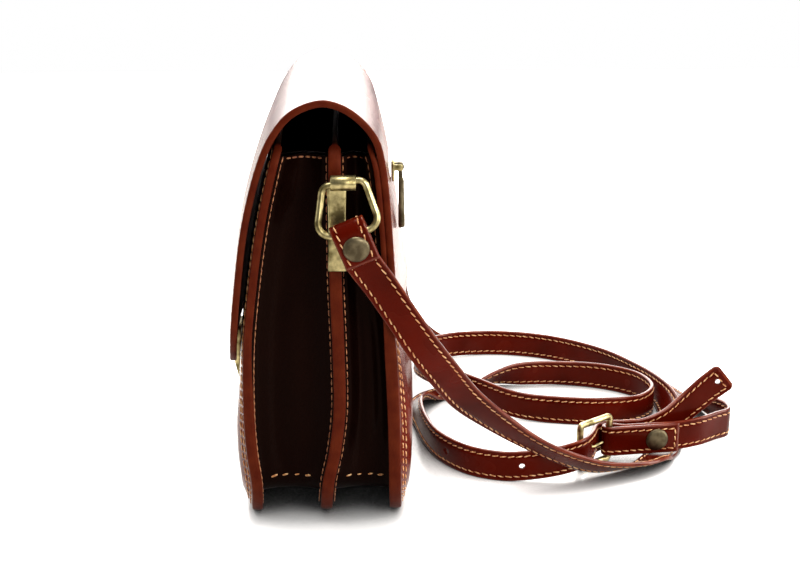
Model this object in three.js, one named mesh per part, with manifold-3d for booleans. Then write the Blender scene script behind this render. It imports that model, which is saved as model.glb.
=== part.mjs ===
// Flap bag: a small leather shoulder bag with two compartments, standing on its panels,
// with its buckled strap laid in loose loops on the floor behind it.
// Millimetres. X is the width, -Y the front with the flap, +Y the back, +Z up, floor at z = 0.
import * as THREE from 'three';
import { mergeVertices } from 'three/addons/utils/BufferGeometryUtils.js';
import Module from 'manifold-3d';

const wasm = await Module();
wasm.setup();

// Driving dimensions
const WIDTH = 200;
const PANEL_HEIGHT = 206;
const FLAP_TOP = 228;
const BASE_CORNER = 28;
const TOP_CORNER = 12;
const FRONT_LEATHER = 3;
const DIVIDER_LEATHER = 2.4;
const BACK_LEATHER = 2.4;
const GUSSET_LEATHER = 2.2;
const FLAP_LEATHER = 3;
const GUSSET_INSET = 12;
const GUSSET_TOP = 200;
const FLAP_TAIL = 118;
const FLAP_CORNER = 32;
const STRAP_WIDTH = 18;
const STRAP_LEATHER = 2.6;
const HOLE_PITCH = 50;
const HOLE_RADIUS = 1.7;
const RING_WIRE = 1.8;
const BUCKLE_WIRE = 1.5;
const CAP_RADIUS = 6.7;
const GAP = 0.3;
const FLANGE_GAP = 0.5;
const LAYER_GAP = 0.5;
const HALF = WIDTH / 2;

// Upright section through the bag: height, then the outer face of the front panel, the middle of
// the divider and the outer face of the back panel, and how far each outer panel swells at mid width
const SECTION = [
  { z: 0, front: -38, divider: 0, back: 39.5, frontSwell: 6, backSwell: 4 },
  { z: 24, front: -38.6, divider: 1.7, back: 40, frontSwell: 8.5, backSwell: 8 },
  { z: 42, front: -40.7, divider: 5.4, back: 39.8, frontSwell: 7.5, backSwell: 9.5 },
  { z: 66, front: -41.8, divider: 8.1, back: 39.2, frontSwell: 5.8, backSwell: 10.2 },
  { z: 100, front: -40.9, divider: 7.9, back: 37.5, frontSwell: 5, backSwell: 9.5 },
  { z: 132, front: -37.4, divider: 7, back: 34, frontSwell: 4.4, backSwell: 7.5 },
  { z: 164, front: -32.4, divider: 6.9, back: 32, frontSwell: 3.4, backSwell: 5 },
  { z: 194, front: -25.6, divider: 7.2, back: 29.2, frontSwell: 2, backSwell: 2.2 },
  { z: 206, front: -22, divider: 7.3, back: 25.5, frontSwell: 1, backSwell: 1.2 },
];

// Middle of the flap's leather where it leaves the back panel, over the top and down the front
const FLAP_ARCH = [
  { y: 28.4, z: 205.9 }, { y: 24.7, z: 212.6 }, { y: 17.2, z: 220.2 }, { y: 9.8, z: 224.6 },
  { y: 1.5, z: 226.5 }, { y: -8.6, z: 224 }, { y: -16.1, z: 219.2 }, { y: -24.4, z: 208.2 },
  { y: -30.6, z: 193.4 }, { y: -38.4, z: 163.3 }, { y: -42.9, z: 132.1 }, { y: -45.3, z: 108.2 },
  { y: -45.9, z: 85 },
];

// Routes of the two straps. lift is the lower edge's height above the floor, lean the angle in degrees
// by which the upper edge leans to the left of travel: 0 stands on edge, 90 lies flat
const LONG_ROUTE = [
  { x: 105.5, y: 30, lift: 125.5, lean: -14 }, { x: 104.5, y: 41, lift: 108.5, lean: -22 },
  { x: 101, y: 51.5, lift: 92, lean: -30 }, { x: 91.5, y: 63, lift: 74.5, lean: -36 },
  { x: 78, y: 76.5, lift: 55, lean: -42 }, { x: 65, y: 96, lift: 36.2, lean: -49 },
  { x: 60, y: 114.5, lift: 22.8, lean: -52 }, { x: 57.5, y: 131.5, lift: 13.5, lean: -53 },
  { x: 49.5, y: 156, lift: 3, lean: -54 }, { x: 37, y: 181.5, lift: 0.6, lean: -66 },
  { x: 28, y: 191, lift: 1.5, lean: -76 }, { x: 17, y: 196.5, lift: 0, lean: -88 },
  { x: 4, y: 203, lift: 0, lean: -89 }, { x: -16, y: 209.5, lift: 0, lean: -78 },
  { x: -44, y: 216, lift: 0, lean: -42 }, { x: -75, y: 213.5, lift: 0, lean: -10 },
  { x: -97, y: 206, lift: 0, lean: -4 }, { x: -133, y: 186.5, lift: 0, lean: 2 },
  { x: -163, y: 150, lift: 0, lean: 2 }, { x: -172, y: 108, lift: 0, lean: 2 },
  { x: -160, y: 77, lift: 1.5, lean: 2 }, { x: -128, y: 59, lift: 4, lean: 0 },
  { x: -98, y: 71, lift: 4.4, lean: -4 }, { x: -70, y: 96, lift: 2.6, lean: -4 },
  { x: -48, y: 120, lift: 0.6, lean: -2 }, { x: -40, y: 146, lift: 0, lean: 0 },
  { x: -37, y: 172, lift: 0, lean: 0 }, { x: -42, y: 196, lift: 0, lean: 0 },
  { x: -60, y: 208, lift: 0, lean: 2 }, { x: -83, y: 203, lift: 0, lean: 2 },
  { x: -100, y: 182, lift: 0, lean: 4 }, { x: -107, y: 156, lift: 0, lean: 12 },
  { x: -107, y: 130, lift: 0, lean: 16 }, { x: -105, y: 108, lift: 0, lean: 50 },
  { x: -98, y: 87, lift: 0, lean: 84 }, { x: -85, y: 67, lift: 0, lean: 86 },
  { x: -62, y: 57, lift: 0, lean: 44 }, { x: -38, y: 56.5, lift: 0, lean: 10 },
  { x: -8, y: 60, lift: 0, lean: 2 }, { x: 15, y: 67, lift: 0, lean: 0 },
  { x: 36, y: 82.5, lift: 0, lean: 0 }, { x: 45, y: 101, lift: 0, lean: 0 },
  { x: 45.8, y: 121, lift: 1.2, lean: 0 }, { x: 43.4, y: 137, lift: 3, lean: 0 },
  { x: 36.6, y: 148.6, lift: 4, lean: 0 }, { x: 26, y: 154.8, lift: 4, lean: 0 },
  { x: 15.6, y: 159, lift: 4, lean: 0 }, { x: 10.6, y: 165.4, lift: 4, lean: 0 },
  { x: 10.4, y: 177, lift: 4.2, lean: 0 }, { x: 9.2, y: 189, lift: 4.8, lean: 0 },
  { x: 6.2, y: 203, lift: 9.5, lean: 0 }, { x: 1, y: 216, lift: 18, lean: 0 },
  { x: -0.8, y: 228, lift: 28, lean: 0 }, { x: -0.6, y: 235.4, lift: 34, lean: 0 },
  { x: -0.5, y: 238.5, lift: 36.5, lean: 0 },
];
const SHORT_ROUTE = [
  { x: -106, y: 33.5, lift: 117, lean: -36 }, { x: -112, y: 39.5, lift: 97, lean: -46 },
  { x: -127, y: 44, lift: 70, lean: -50 }, { x: -148, y: 47, lift: 43, lean: -56 },
  { x: -171, y: 57, lift: 21, lean: -64 }, { x: -189, y: 75, lift: 6, lean: -76 },
  { x: -197, y: 100, lift: 0, lean: -86 }, { x: -191, y: 130, lift: 0, lean: -89 },
  { x: -178, y: 157, lift: 0, lean: -89 }, { x: -147, y: 197, lift: 0, lean: -89 },
  { x: -108, y: 217, lift: 0, lean: -88 }, { x: -82, y: 226, lift: 0, lean: -80 },
  { x: -60, y: 233, lift: 0, lean: -60 }, { x: -42, y: 239, lift: 0.8, lean: -32 },
  { x: -28, y: 243.5, lift: 2, lean: -8 }, { x: -17, y: 245.5, lift: 2.8, lean: 0 },
  { x: -8, y: 243, lift: 3.4, lean: 0 }, { x: -2, y: 235, lift: 3.8, lean: 0 },
  { x: 7, y: 222.5, lift: 4, lean: 0 },
];

// Brass fittings
const BARREL = { x: 104.4, y: 11.3, z: 188, length: 12.7, outer: 3.9, bore: 3.25 };
const PLATE = { width: 9, thick: 1.5, y: 7.7, low: 142 };
const RING = { top: 10.5, left: 18.3, right: 14.7, drop: 25, topRound: 4, bottomRound: 6.5, lean: 10, swing: 13 };
const STRAP_LOOP = { face: 3.9, crown: 5.8, settle: 9, cap: 6.9, end: 16.5, tilt: 22, slope: 0.13, shift: -1 };
const BUCKLE_FOLD = { face: 3.3, crown: 3.3, settle: 9, cap: 28, end: 42 };
const HEEL = { x: 17.8, y: 166 };
const BUCKLE = { length: 25, low: 1.6, high: 28, round: 2.2, turn: 52, lift: 4 };
const PRONG = { radius: 0.7, cross: 17, hole: 3 };
const ZIP = { z: 186, half: 72, chain: 6.5, thick: 2.4, margin: 0.8 };
const SLIDER = { x: 65, width: 8, height: 11, thick: 1.4, pivot: 4.2, pin: 0.9, ear: 1.2 };
const PULL = { length: 35, width: 9, neck: 4, thick: 1.8, eye: 2.3, bore: 1.35, slot: 3 };
const CLASP = { width: 24, low: 48, high: 83, depth: 4.2 };

// Finishes
const FINISH = {
  leather: { color: 0x4e1a10, roughness: 0.38, metalness: 0 },
  lining: { color: 0x1d0a07, roughness: 0.5, metalness: 0 },
  brass: { color: 0x9a8a58, roughness: 0.42, metalness: 1 },
};

const bag = new THREE.Group();

function addPiece(name, geometry, finish) {
  const mesh = new THREE.Mesh(geometry, new THREE.MeshStandardMaterial(FINISH[finish]));
  mesh.name = name;
  bag.add(mesh);
  return mesh;
}

// Smooth value of one SECTION column at height z, by cubic segments with averaged slopes
function section(column, z) {
  const last = SECTION.length - 1;
  const height = Math.min(Math.max(z, 0), SECTION[last].z);
  let i = 0;
  while (i < last - 1 && SECTION[i + 1].z < height) i += 1;
  const slope = (k) => {
    const a = SECTION[Math.max(k - 1, 0)];
    const b = SECTION[Math.min(k + 1, last)];
    return (b[column] - a[column]) / (b.z - a.z);
  };
  const low = SECTION[i];
  const high = SECTION[i + 1];
  const span = high.z - low.z;
  const t = (height - low.z) / span;
  const t2 = t * t;
  const t3 = t2 * t;
  return (2 * t3 - 3 * t2 + 1) * low[column] + (t3 - 2 * t2 + t) * span * slope(i)
    + (3 * t2 - 2 * t3) * high[column] + (t3 - t2) * span * slope(i + 1);
}

// The panels' faces as y over x and z. The swell falls to nothing at both ends of the bag
const swellShare = (x) => Math.max(0, 1 - (x / HALF) ** 2);
const frontOuter = (x, z) => section('front', z) - section('frontSwell', z) * swellShare(x);
const frontInner = (x, z) => frontOuter(x, z) + FRONT_LEATHER;
const dividerFront = (x, z) => section('divider', z) - DIVIDER_LEATHER / 2;
const dividerBack = (x, z) => section('divider', z) + DIVIDER_LEATHER / 2;
const backOuter = (x, z) => section('back', z) + section('backSwell', z) * swellShare(x);
const backInner = (x, z) => backOuter(x, z) - BACK_LEATHER;
const tailOuter = (x, z) => backOuter(x, z) + GAP + FLAP_LEATHER;

// Closed solid from rows of paired points: an outer and an inner line per row, joined edge to edge.
// A closed run joins the last row to the first, an open one is capped
function wall(rows, closedRun = false) {
  const count = rows[0].outer.length;
  const loop = 2 * count;
  const positions = [];
  rows.forEach((row) => {
    row.outer.forEach((p) => positions.push(p.x, p.y, p.z));
    [...row.inner].reverse().forEach((p) => positions.push(p.x, p.y, p.z));
  });
  const index = [];
  const quad = (a, b, c, d) => index.push(a, b, c, a, c, d);
  const steps = closedRun ? rows.length : rows.length - 1;
  for (let r = 0; r < steps; r += 1) {
    const here = r * loop;
    const next = ((r + 1) % rows.length) * loop;
    for (let i = 0; i < loop; i += 1) {
      const j = (i + 1) % loop;
      if (i < count) quad(here + i, here + j, next + j, next + i);
      else quad(here + j, next + j, next + i, here + i);
    }
  }
  if (!closedRun) {
    const end = (rows.length - 1) * loop;
    for (let i = 0; i < count - 1; i += 1) {
      const back = loop - 1 - i;
      quad(i, back, back - 1, i + 1);
      quad(end + i, end + i + 1, end + back - 1, end + back);
    }
  }
  return outward(positions, index);
}

// Geometry with its faces pointing out, whichever way round its rows ran
function outward(positions, index) {
  const corner = (k) => new THREE.Vector3().fromArray(positions, 3 * k);
  let volume = 0;
  for (let t = 0; t < index.length; t += 3) {
    const a = corner(index[t]);
    volume += a.dot(corner(index[t + 1]).cross(corner(index[t + 2])));
  }
  if (volume < 0) index.reverse();
  const geometry = new THREE.BufferGeometry();
  geometry.setAttribute('position', new THREE.Float32BufferAttribute(positions, 3));
  geometry.setIndex(index);
  geometry.computeVertexNormals();
  return geometry;
}

// Boolean join and cut of closed geometries
function solidOf(geometry) {
  const bare = geometry.clone();
  bare.deleteAttribute('normal');
  bare.deleteAttribute('uv');
  const merged = mergeVertices(bare, 1e-4);
  return new wasm.Manifold(new wasm.Mesh({
    numProp: 3,
    vertProperties: new Float32Array(merged.attributes.position.array),
    triVerts: new Uint32Array(merged.index.array),
  }));
}
function geometryOf(solid) {
  const mesh = solid.getMesh();
  const geometry = new THREE.BufferGeometry();
  geometry.setAttribute('position', new THREE.Float32BufferAttribute(mesh.vertProperties, 3));
  geometry.setIndex([...mesh.triVerts]);
  geometry.computeVertexNormals();
  return geometry;
}
const join = (...parts) => geometryOf(parts.map(solidOf).reduce((a, b) => a.add(b)));
const cut = (body, ...tools) => geometryOf(tools.map(solidOf).reduce((a, b) => a.subtract(b), solidOf(body)));

// Box between two corners
function block(low, high) {
  const size = high.map((v, i) => v - low[i]);
  const middle = high.map((v, i) => (v + low[i]) / 2);
  return new THREE.BoxGeometry(...size).translate(...middle);
}

// Cylinder of a length along a direction, centred on a point
function rod(centre, direction, radius, length, sides) {
  const turn = new THREE.Quaternion().setFromUnitVectors(new THREE.Vector3(0, 1, 0), direction);
  const shape = new THREE.CylinderGeometry(radius, radius, length, sides).applyQuaternion(turn);
  return shape.translate(centre.x, centre.y, centre.z);
}

// Heights shared by the panels and the gussets along the straight sides, so that their faces stay apart
const SHOULDER = PANEL_HEIGHT - TOP_CORNER;
const LEVELS = Array.from({ length: 11 }, (_, i) => BASE_CORNER + (SHOULDER - BASE_CORNER) * (i / 10));

// Heights and half widths of a panel's rows: rounded lower corners, straight sides, rounded top
function panelRows() {
  const rows = [];
  const base = 6;
  for (let i = 0; i <= base; i += 1) {
    const a = (i / base) * Math.PI / 2;
    rows.push({ z: BASE_CORNER * (1 - Math.cos(a)), half: HALF - BASE_CORNER * (1 - Math.sin(a)) });
  }
  LEVELS.slice(1).forEach((z) => rows.push({ z, half: HALF }));
  const top = 3;
  for (let i = 1; i <= top; i += 1) {
    const a = (i / top) * Math.PI / 2;
    rows.push({ z: SHOULDER + TOP_CORNER * Math.sin(a), half: HALF - TOP_CORNER * (1 - Math.cos(a)) });
  }
  return rows;
}

const ACROSS = Array.from({ length: 11 }, (_, i) => -1 + i / 5);

function panel(outerFace, innerFace) {
  return wall(panelRows().map(({ z, half }) => ({
    outer: ACROSS.map((u) => new THREE.Vector3(u * half, outerFace(u * half, z), z)),
    inner: ACROSS.map((u) => new THREE.Vector3(u * half, innerFace(u * half, z), z)),
  })));
}

// Path of a gusset's fold, from the top at one end, round the base to the other, with its outward side
function gussetPath() {
  const side = HALF - GUSSET_INSET;
  const bend = BASE_CORNER - GUSSET_INSET;
  const turns = 6;
  const path = [GUSSET_TOP, ...LEVELS.slice(1).reverse()].map((z) => ({ x: side, z, nx: 1, nz: 0 }));
  for (let i = 0; i <= turns; i += 1) {
    const a = (i / turns) * Math.PI / 2;
    const nx = Math.cos(a);
    const nz = -Math.sin(a);
    path.push({ x: side - bend + bend * nx, z: BASE_CORNER + bend * nz, nx, nz });
  }
  const floor = 5;
  const run = side - bend;
  const base = Array.from({ length: floor }, (_, i) => (
    { x: run - (2 * run * (i + 1)) / (floor + 1), z: GUSSET_INSET, nx: 0, nz: -1 }));
  const mirrored = [...path].reverse().map((p) => ({ ...p, x: -p.x, nx: -p.nx }));
  return [...path, ...base, ...mirrored];
}

// Gusset: a channel whose two flanges lie on the panels' inner faces and whose web dips inwards
function gusset(lowFace, highFace, dip) {
  const flange = GUSSET_INSET - 0.4;
  const shares = [0.2, 0.5, 0.8];
  const rows = gussetPath().map(({ x, z, nx, nz }) => {
    const place = (out, faceY) => {
      const px = x + nx * out;
      const pz = z + nz * out;
      return new THREE.Vector3(px, faceY(px, pz), pz);
    };
    const line = (edgeOut, rootOut, inset) => {
      const low = (px, pz) => lowFace(px, pz) + inset;
      const high = (px, pz) => highFace(px, pz) - inset;
      const depth = dip * (0.2 + 0.8 * nx * nx);
      const web = shares.map((s) => place(rootOut - depth * Math.sin(Math.PI * s),
        (px, pz) => low(px, pz) * (1 - s) + high(px, pz) * s));
      return [place(edgeOut, low), place(rootOut, low), ...web, place(rootOut, high), place(edgeOut, high)];
    };
    return {
      outer: line(flange, 0, FLANGE_GAP + GUSSET_LEATHER),
      inner: line(flange, -GUSSET_LEATHER, FLANGE_GAP),
    };
  });
  return wall(rows);
}

// Flap: one sheet along its side profile, with the panels' swell and rounded lower corners
function flap() {
  const tail = [0, 16, 32, 48, 64, 76].map((rise) => FLAP_TAIL + rise).map((z) => (
    new THREE.Vector3(0, section('back', z) + GAP + FLAP_LEATHER / 2, z)));
  const arch = FLAP_ARCH.map(({ y, z }) => new THREE.Vector3(0, y, z));
  const profile = new THREE.CatmullRomCurve3([...tail, ...arch], false, 'centripetal');
  const length = profile.getLength();
  const straight = 24;
  const round = 6;
  const stations = [];
  for (let i = 0; i < straight; i += 1) {
    stations.push({ s: (length - FLAP_CORNER) * (i / straight), half: HALF });
  }
  for (let i = 0; i <= round; i += 1) {
    const a = (i / round) * Math.PI / 2;
    stations.push({
      s: length - FLAP_CORNER * (1 - Math.sin(a)),
      half: HALF - FLAP_CORNER * (1 - Math.cos(a)),
    });
  }
  return wall(stations.map(({ s, half }) => {
    const u = Math.min(s / length, 1);
    const p = profile.getPointAt(u);
    const along = profile.getTangentAt(u);
    const out = new THREE.Vector3(0, along.z, -along.y);
    const side = p.y > 0 ? 1 : -1;
    const fade = Math.min(1, Math.max(0, (FLAP_TOP - p.z) / (FLAP_TOP - PANEL_HEIGHT)));
    const swell = side * fade * section(side > 0 ? 'backSwell' : 'frontSwell', p.z);
    const sheet = (offset) => ACROSS.map((share) => {
      const x = share * half;
      return new THREE.Vector3(x, p.y + out.y * offset + swell * swellShare(x), p.z + out.z * offset);
    });
    return { outer: sheet(FLAP_LEATHER / 2), inner: sheet(-FLAP_LEATHER / 2) };
  }));
}

// Strip along the zip over the back panel's outer face, from one height above that face to another
function zipStrip(half, rise, low, high) {
  const columns = Array.from({ length: 13 }, (_, i) => half * (-1 + i / 6));
  return wall(columns.map((x) => {
    const at = (z, out) => new THREE.Vector3(x, backOuter(x, z) + out, z);
    const line = (out) => [at(ZIP.z - rise, out), at(ZIP.z + rise, out)];
    return { outer: line(high), inner: line(low) };
  }));
}

// Round wire along points, as a closed loop or with flat ends
function wire(points, radius, sides, closedRun, flatNormal) {
  const half = sides / 2;
  const count = points.length;
  return wall(points.map((p, i) => {
    const before = points[closedRun ? (i + count - 1) % count : Math.max(i - 1, 0)];
    const after = points[closedRun ? (i + 1) % count : Math.min(i + 1, count - 1)];
    const along = after.clone().sub(before).normalize();
    const side = new THREE.Vector3().crossVectors(along, flatNormal).normalize();
    const up = new THREE.Vector3().crossVectors(side, along);
    const at = (k) => {
      const a = (k / sides) * 2 * Math.PI;
      return p.clone().addScaledVector(side, radius * Math.cos(a)).addScaledVector(up, radius * Math.sin(a));
    };
    const turn = (from) => Array.from({ length: half }, (_, k) => at(from + k));
    return { outer: turn(0), inner: turn(half).reverse() };
  }), closedRun);
}

// Points of a closed outline whose corners are rounded, each corner by its own radius
function rounded(corners, steps) {
  const shape = corners.map(({ p, q, r }, i) => {
    const here = new THREE.Vector2(p, q);
    const previous = corners[(i + corners.length - 1) % corners.length];
    const following = corners[(i + 1) % corners.length];
    const back = new THREE.Vector2(previous.p, previous.q).sub(here);
    const on = new THREE.Vector2(following.p, following.q).sub(here);
    const turn = Math.acos(back.clone().normalize().dot(on.clone().normalize()));
    const reach = r / Math.tan(turn / 2);
    return {
      start: here.clone().add(back.setLength(reach)),
      here,
      end: here.clone().add(on.setLength(reach)),
    };
  });
  return shape.flatMap(({ start, here, end }) => (
    new THREE.QuadraticBezierCurve(start, here, end).getPoints(steps)));
}

// Ring and hanger at one end: side is 1 at the near end and -1 at the far end
function ringFrame(side) {
  const frame = new THREE.Matrix4().makeTranslation(side * BARREL.x, BARREL.y, BARREL.z);
  const lean = new THREE.Matrix4().makeRotationX(THREE.MathUtils.degToRad(RING.lean));
  const swing = new THREE.Matrix4().makeRotationY(THREE.MathUtils.degToRad(-side * RING.swing));
  return frame.multiply(swing).multiply(lean);
}
function ring(side) {
  const outline = rounded([
    { p: -RING.top, q: 0, r: RING.topRound },
    { p: RING.top, q: 0, r: RING.topRound },
    { p: RING.right, q: -RING.drop, r: RING.bottomRound },
    { p: -RING.left, q: -RING.drop, r: RING.bottomRound },
  ], 6);
  const points = outline.map((p) => new THREE.Vector3(0, p.x, p.y));
  const frame = ringFrame(side);
  return wire(points, RING_WIRE, 8, true, new THREE.Vector3(1, 0, 0)).applyMatrix4(frame);
}
function hanger(side) {
  const across = new THREE.Vector3(0, 1, 0);
  const centre = new THREE.Vector3(side * BARREL.x, BARREL.y, BARREL.z);
  const tube = rod(centre, across, BARREL.outer, BARREL.length, 20);
  const bore = rod(centre, across, BARREL.bore, BARREL.length + 4, 20);
  const edges = [side * (HALF + 0.4), side * (HALF + 0.4 + PLATE.thick)];
  const plate = block(
    [Math.min(...edges), PLATE.y - PLATE.width / 2, PLATE.low],
    [Math.max(...edges), PLATE.y + PLATE.width / 2, BARREL.z],
  );
  return cut(join(tube, plate), bore);
}

// Folded strap end round a bar: stations from the free end, over the bar and back along the strap.
// along, face and across are the strap's directions, face pointing to the side of the free end, which
// stays flat while the layer behind it comes forward to meet it
function hairpin(bar, along, face, across, fold) {
  const rear = fold.face - STRAP_LEATHER - LAYER_GAP;
  const front = [1, 0.7, 0.35].map((u) => ({ t: u * fold.end, n: fold.face }));
  const turn = Array.from({ length: 7 }, (_, i) => {
    const a = (i / 6) * Math.PI;
    return { t: -fold.crown * Math.sin(a), n: fold.face * Math.cos(a) };
  });
  const back = [
    { t: 0.25 * fold.settle, n: -0.93 * fold.face }, { t: 0.62 * fold.settle, n: (rear - fold.face) / 2 },
    { t: fold.settle, n: rear - 0.1 }, { t: fold.settle + 3, n: rear },
    { t: (fold.settle + 3 + fold.end) / 2, n: rear }, { t: fold.end, n: rear },
  ];
  return [...front, ...turn, ...back].map(({ t, n }) => ({
    centre: bar.clone().addScaledVector(along, t).addScaledVector(face, n),
    across: across.clone(),
  }));
}

// Stations of a laid strap from its route table
function laid(route) {
  const up = new THREE.Vector3(0, 0, 1);
  const centres = route.map(({ x, y, lift, lean }) => {
    const a = THREE.MathUtils.degToRad(lean);
    const rise = (STRAP_WIDTH / 2) * Math.cos(a) + (STRAP_LEATHER / 2) * Math.abs(Math.sin(a));
    return new THREE.Vector3(x, y, lift + rise);
  });
  return route.map(({ lean }, i) => {
    const before = centres[Math.max(i - 1, 0)];
    const after = centres[Math.min(i + 1, centres.length - 1)];
    const along = after.clone().sub(before).normalize();
    const left = new THREE.Vector3().crossVectors(up, along).normalize();
    const upper = new THREE.Vector3().crossVectors(along, left);
    const a = THREE.MathUtils.degToRad(lean);
    const across = upper.multiplyScalar(Math.cos(a)).addScaledVector(left, Math.sin(a));
    return { centre: centres[i], across };
  });
}

// Smooth centre line and strap directions through the stations, kept above the floor
function strapLine(stations) {
  const curve = new THREE.CatmullRomCurve3(stations.map((s) => s.centre), false, 'centripetal');
  const width = new THREE.CatmullRomCurve3(stations.map((s) => s.across), false, 'catmullrom');
  const lineStep = 9;
  const frames = [];
  const last = stations.length - 1;
  stations.slice(1).forEach((station, i) => {
    const gap = station.centre.distanceTo(stations[i].centre);
    const pieces = Math.max(1, Math.round(gap / lineStep));
    for (let k = 0; k < pieces; k += 1) frames.push((i + k / pieces) / last);
  });
  frames.push(1);
  return frames.map((u) => {
    const centre = curve.getPoint(u);
    const along = curve.getTangent(u);
    const face = new THREE.Vector3().crossVectors(along, width.getPoint(u)).normalize();
    const across = new THREE.Vector3().crossVectors(face, along);
    const reach = (STRAP_WIDTH / 2) * Math.abs(across.z) + (STRAP_LEATHER / 2) * Math.abs(face.z);
    centre.z = Math.max(centre.z, reach);
    return { centre, along, face, across };
  });
}
function strap(line, taper) {
  return wall(line.map(({ centre, face, across }, i) => {
    const half = (STRAP_WIDTH / 2) * taper(line.length - 1 - i);
    const at = (w, n) => centre.clone().addScaledVector(across, w).addScaledVector(face, n);
    const skin = (n) => [at(-half, n), at(half, n)];
    return { outer: skin(STRAP_LEATHER / 2), inner: skin(-STRAP_LEATHER / 2) };
  }));
}

// Frame of a strap at a distance from its first station, and the distance of its nearest point to a place
function frameAt(line, distance) {
  let rest = distance;
  for (let i = 1; i < line.length; i += 1) {
    const step = line[i].centre.distanceTo(line[i - 1].centre);
    if (rest <= step) {
      const blend = (key) => line[i - 1][key].clone().lerp(line[i][key], rest / step);
      return { centre: blend('centre'), face: blend('face').normalize() };
    }
    rest -= step;
  }
  return line[line.length - 1];
}
function nearest(line, place) {
  let walked = 0;
  let best = { gap: Infinity, distance: 0 };
  for (let i = 1; i < line.length; i += 1) {
    const piece = new THREE.Line3(line[i - 1].centre, line[i].centre);
    const share = piece.closestPointToPointParameter(place, true);
    const gap = piece.at(share, new THREE.Vector3()).distanceTo(place);
    if (gap < best.gap) best = { gap, distance: walked + share * piece.distance() };
    walked += piece.distance();
  }
  return best.distance;
}

// Domed snap cap seated on a strap face
function cap(point, face) {
  const profile = [[0, 0], [CAP_RADIUS, 0], [CAP_RADIUS, 0.7], [CAP_RADIUS - 0.9, 1.5],
    [CAP_RADIUS / 2, 2], [0, 2.2]].map(([r, h]) => new THREE.Vector2(r, h));
  const turn = new THREE.Quaternion().setFromUnitVectors(new THREE.Vector3(0, 1, 0), face);
  const shape = new THREE.LatheGeometry(profile, 20).applyQuaternion(turn);
  return shape.translate(point.x, point.y, point.z);
}
function seatedCap(bar, along, face, fold) {
  const stack = fold.face + STRAP_LEATHER / 2 + GAP;
  return cap(bar.clone().addScaledVector(along, fold.cap).addScaledVector(face, stack), face);
}

// Body of the bag
addPiece('front_panel', panel(frontOuter, frontInner), 'leather');
addPiece('divider', panel(dividerFront, dividerBack), 'leather');
addPiece('back_panel', panel(backOuter, backInner), 'leather');
addPiece('gusset_front', gusset(frontInner, dividerFront, 5), 'lining');
addPiece('gusset_back', gusset(dividerBack, backInner, 4), 'lining');
const zipWindow = zipStrip(ZIP.half + ZIP.margin, ZIP.chain / 2 + ZIP.margin, -2, 3 * FLAP_LEATHER);
addPiece('flap', cut(flap(), zipWindow), 'leather');

// Strap ends at the rings
const tilt = THREE.MathUtils.degToRad(STRAP_LOOP.tilt);
const ends = { near: 1, far: -1 };
const loops = {};
Object.entries(ends).forEach(([end, side]) => {
  const bar = new THREE.Vector3(0, STRAP_LOOP.shift, -RING.drop).applyMatrix4(ringFrame(side));
  const across = new THREE.Vector3(0, Math.cos(tilt), Math.sin(tilt));
  const fall = new THREE.Vector3(-side * STRAP_LOOP.slope, Math.sin(tilt), -Math.cos(tilt));
  const face = new THREE.Vector3().crossVectors(fall, across).normalize().multiplyScalar(side);
  const along = new THREE.Vector3().crossVectors(across, face).multiplyScalar(side).normalize();
  loops[end] = hairpin(bar, along, face, across, STRAP_LOOP);
  addPiece(`hanger_${end}`, hanger(side), 'brass');
  addPiece(`ring_${end}`, ring(side), 'brass');
  addPiece(`cap_${end}`, seatedCap(bar, along, face, STRAP_LOOP), 'brass');
});

// Buckle: a frame round its heel bar, with the short strap folded over that bar
const heel = new THREE.Vector3(HEEL.x, HEEL.y, BUCKLE.lift + STRAP_WIDTH / 2);
const upward = new THREE.Vector3(0, 0, 1);
const foldAlong = new THREE.Vector3(-0.12, 1, 0).normalize();
const foldFace = new THREE.Vector3().crossVectors(foldAlong, upward);
const fold = hairpin(heel, foldAlong, foldFace, upward, BUCKLE_FOLD).reverse();
addPiece('cap_buckle', seatedCap(heel, foldAlong, foldFace, BUCKLE_FOLD), 'brass');
const turn = THREE.MathUtils.degToRad(-BUCKLE.turn);
const reach = new THREE.Vector3(Math.cos(turn), Math.sin(turn), 0);
const frameSide = new THREE.Vector3().crossVectors(upward, reach);
const frameOutline = rounded([
  { p: 0, q: BUCKLE.low, r: BUCKLE.round },
  { p: BUCKLE.length, q: BUCKLE.low, r: BUCKLE.round },
  { p: BUCKLE.length, q: BUCKLE.high, r: BUCKLE.round },
  { p: 0, q: BUCKLE.high, r: BUCKLE.round },
], 4);
const framePoints = frameOutline.map(({ x, y }) => (
  new THREE.Vector3(HEEL.x, HEEL.y, 0).addScaledVector(reach, x).addScaledVector(upward, y)));
addPiece('buckle_frame', wire(framePoints, BUCKLE_WIRE, 8, true, frameSide), 'brass');

// Prong: a bent rod from the heel, through the long strap's hole, to rest on the far side of the frame
const inFrame = (along, out) => heel.clone().addScaledVector(reach, along).addScaledVector(frameSide, out);
const prongPath = new THREE.CatmullRomCurve3([
  inFrame(6, 0.6), inFrame(11, 1.2), inFrame(14.6, 1.7), inFrame(PRONG.cross, 0), inFrame(19.4, -1.7),
  inFrame(23, -2.6), inFrame(26.8, -2.6),
]);
addPiece('buckle_prong', wire(prongPath.getPoints(18), PRONG.radius, 8, false, upward), 'brass');

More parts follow.
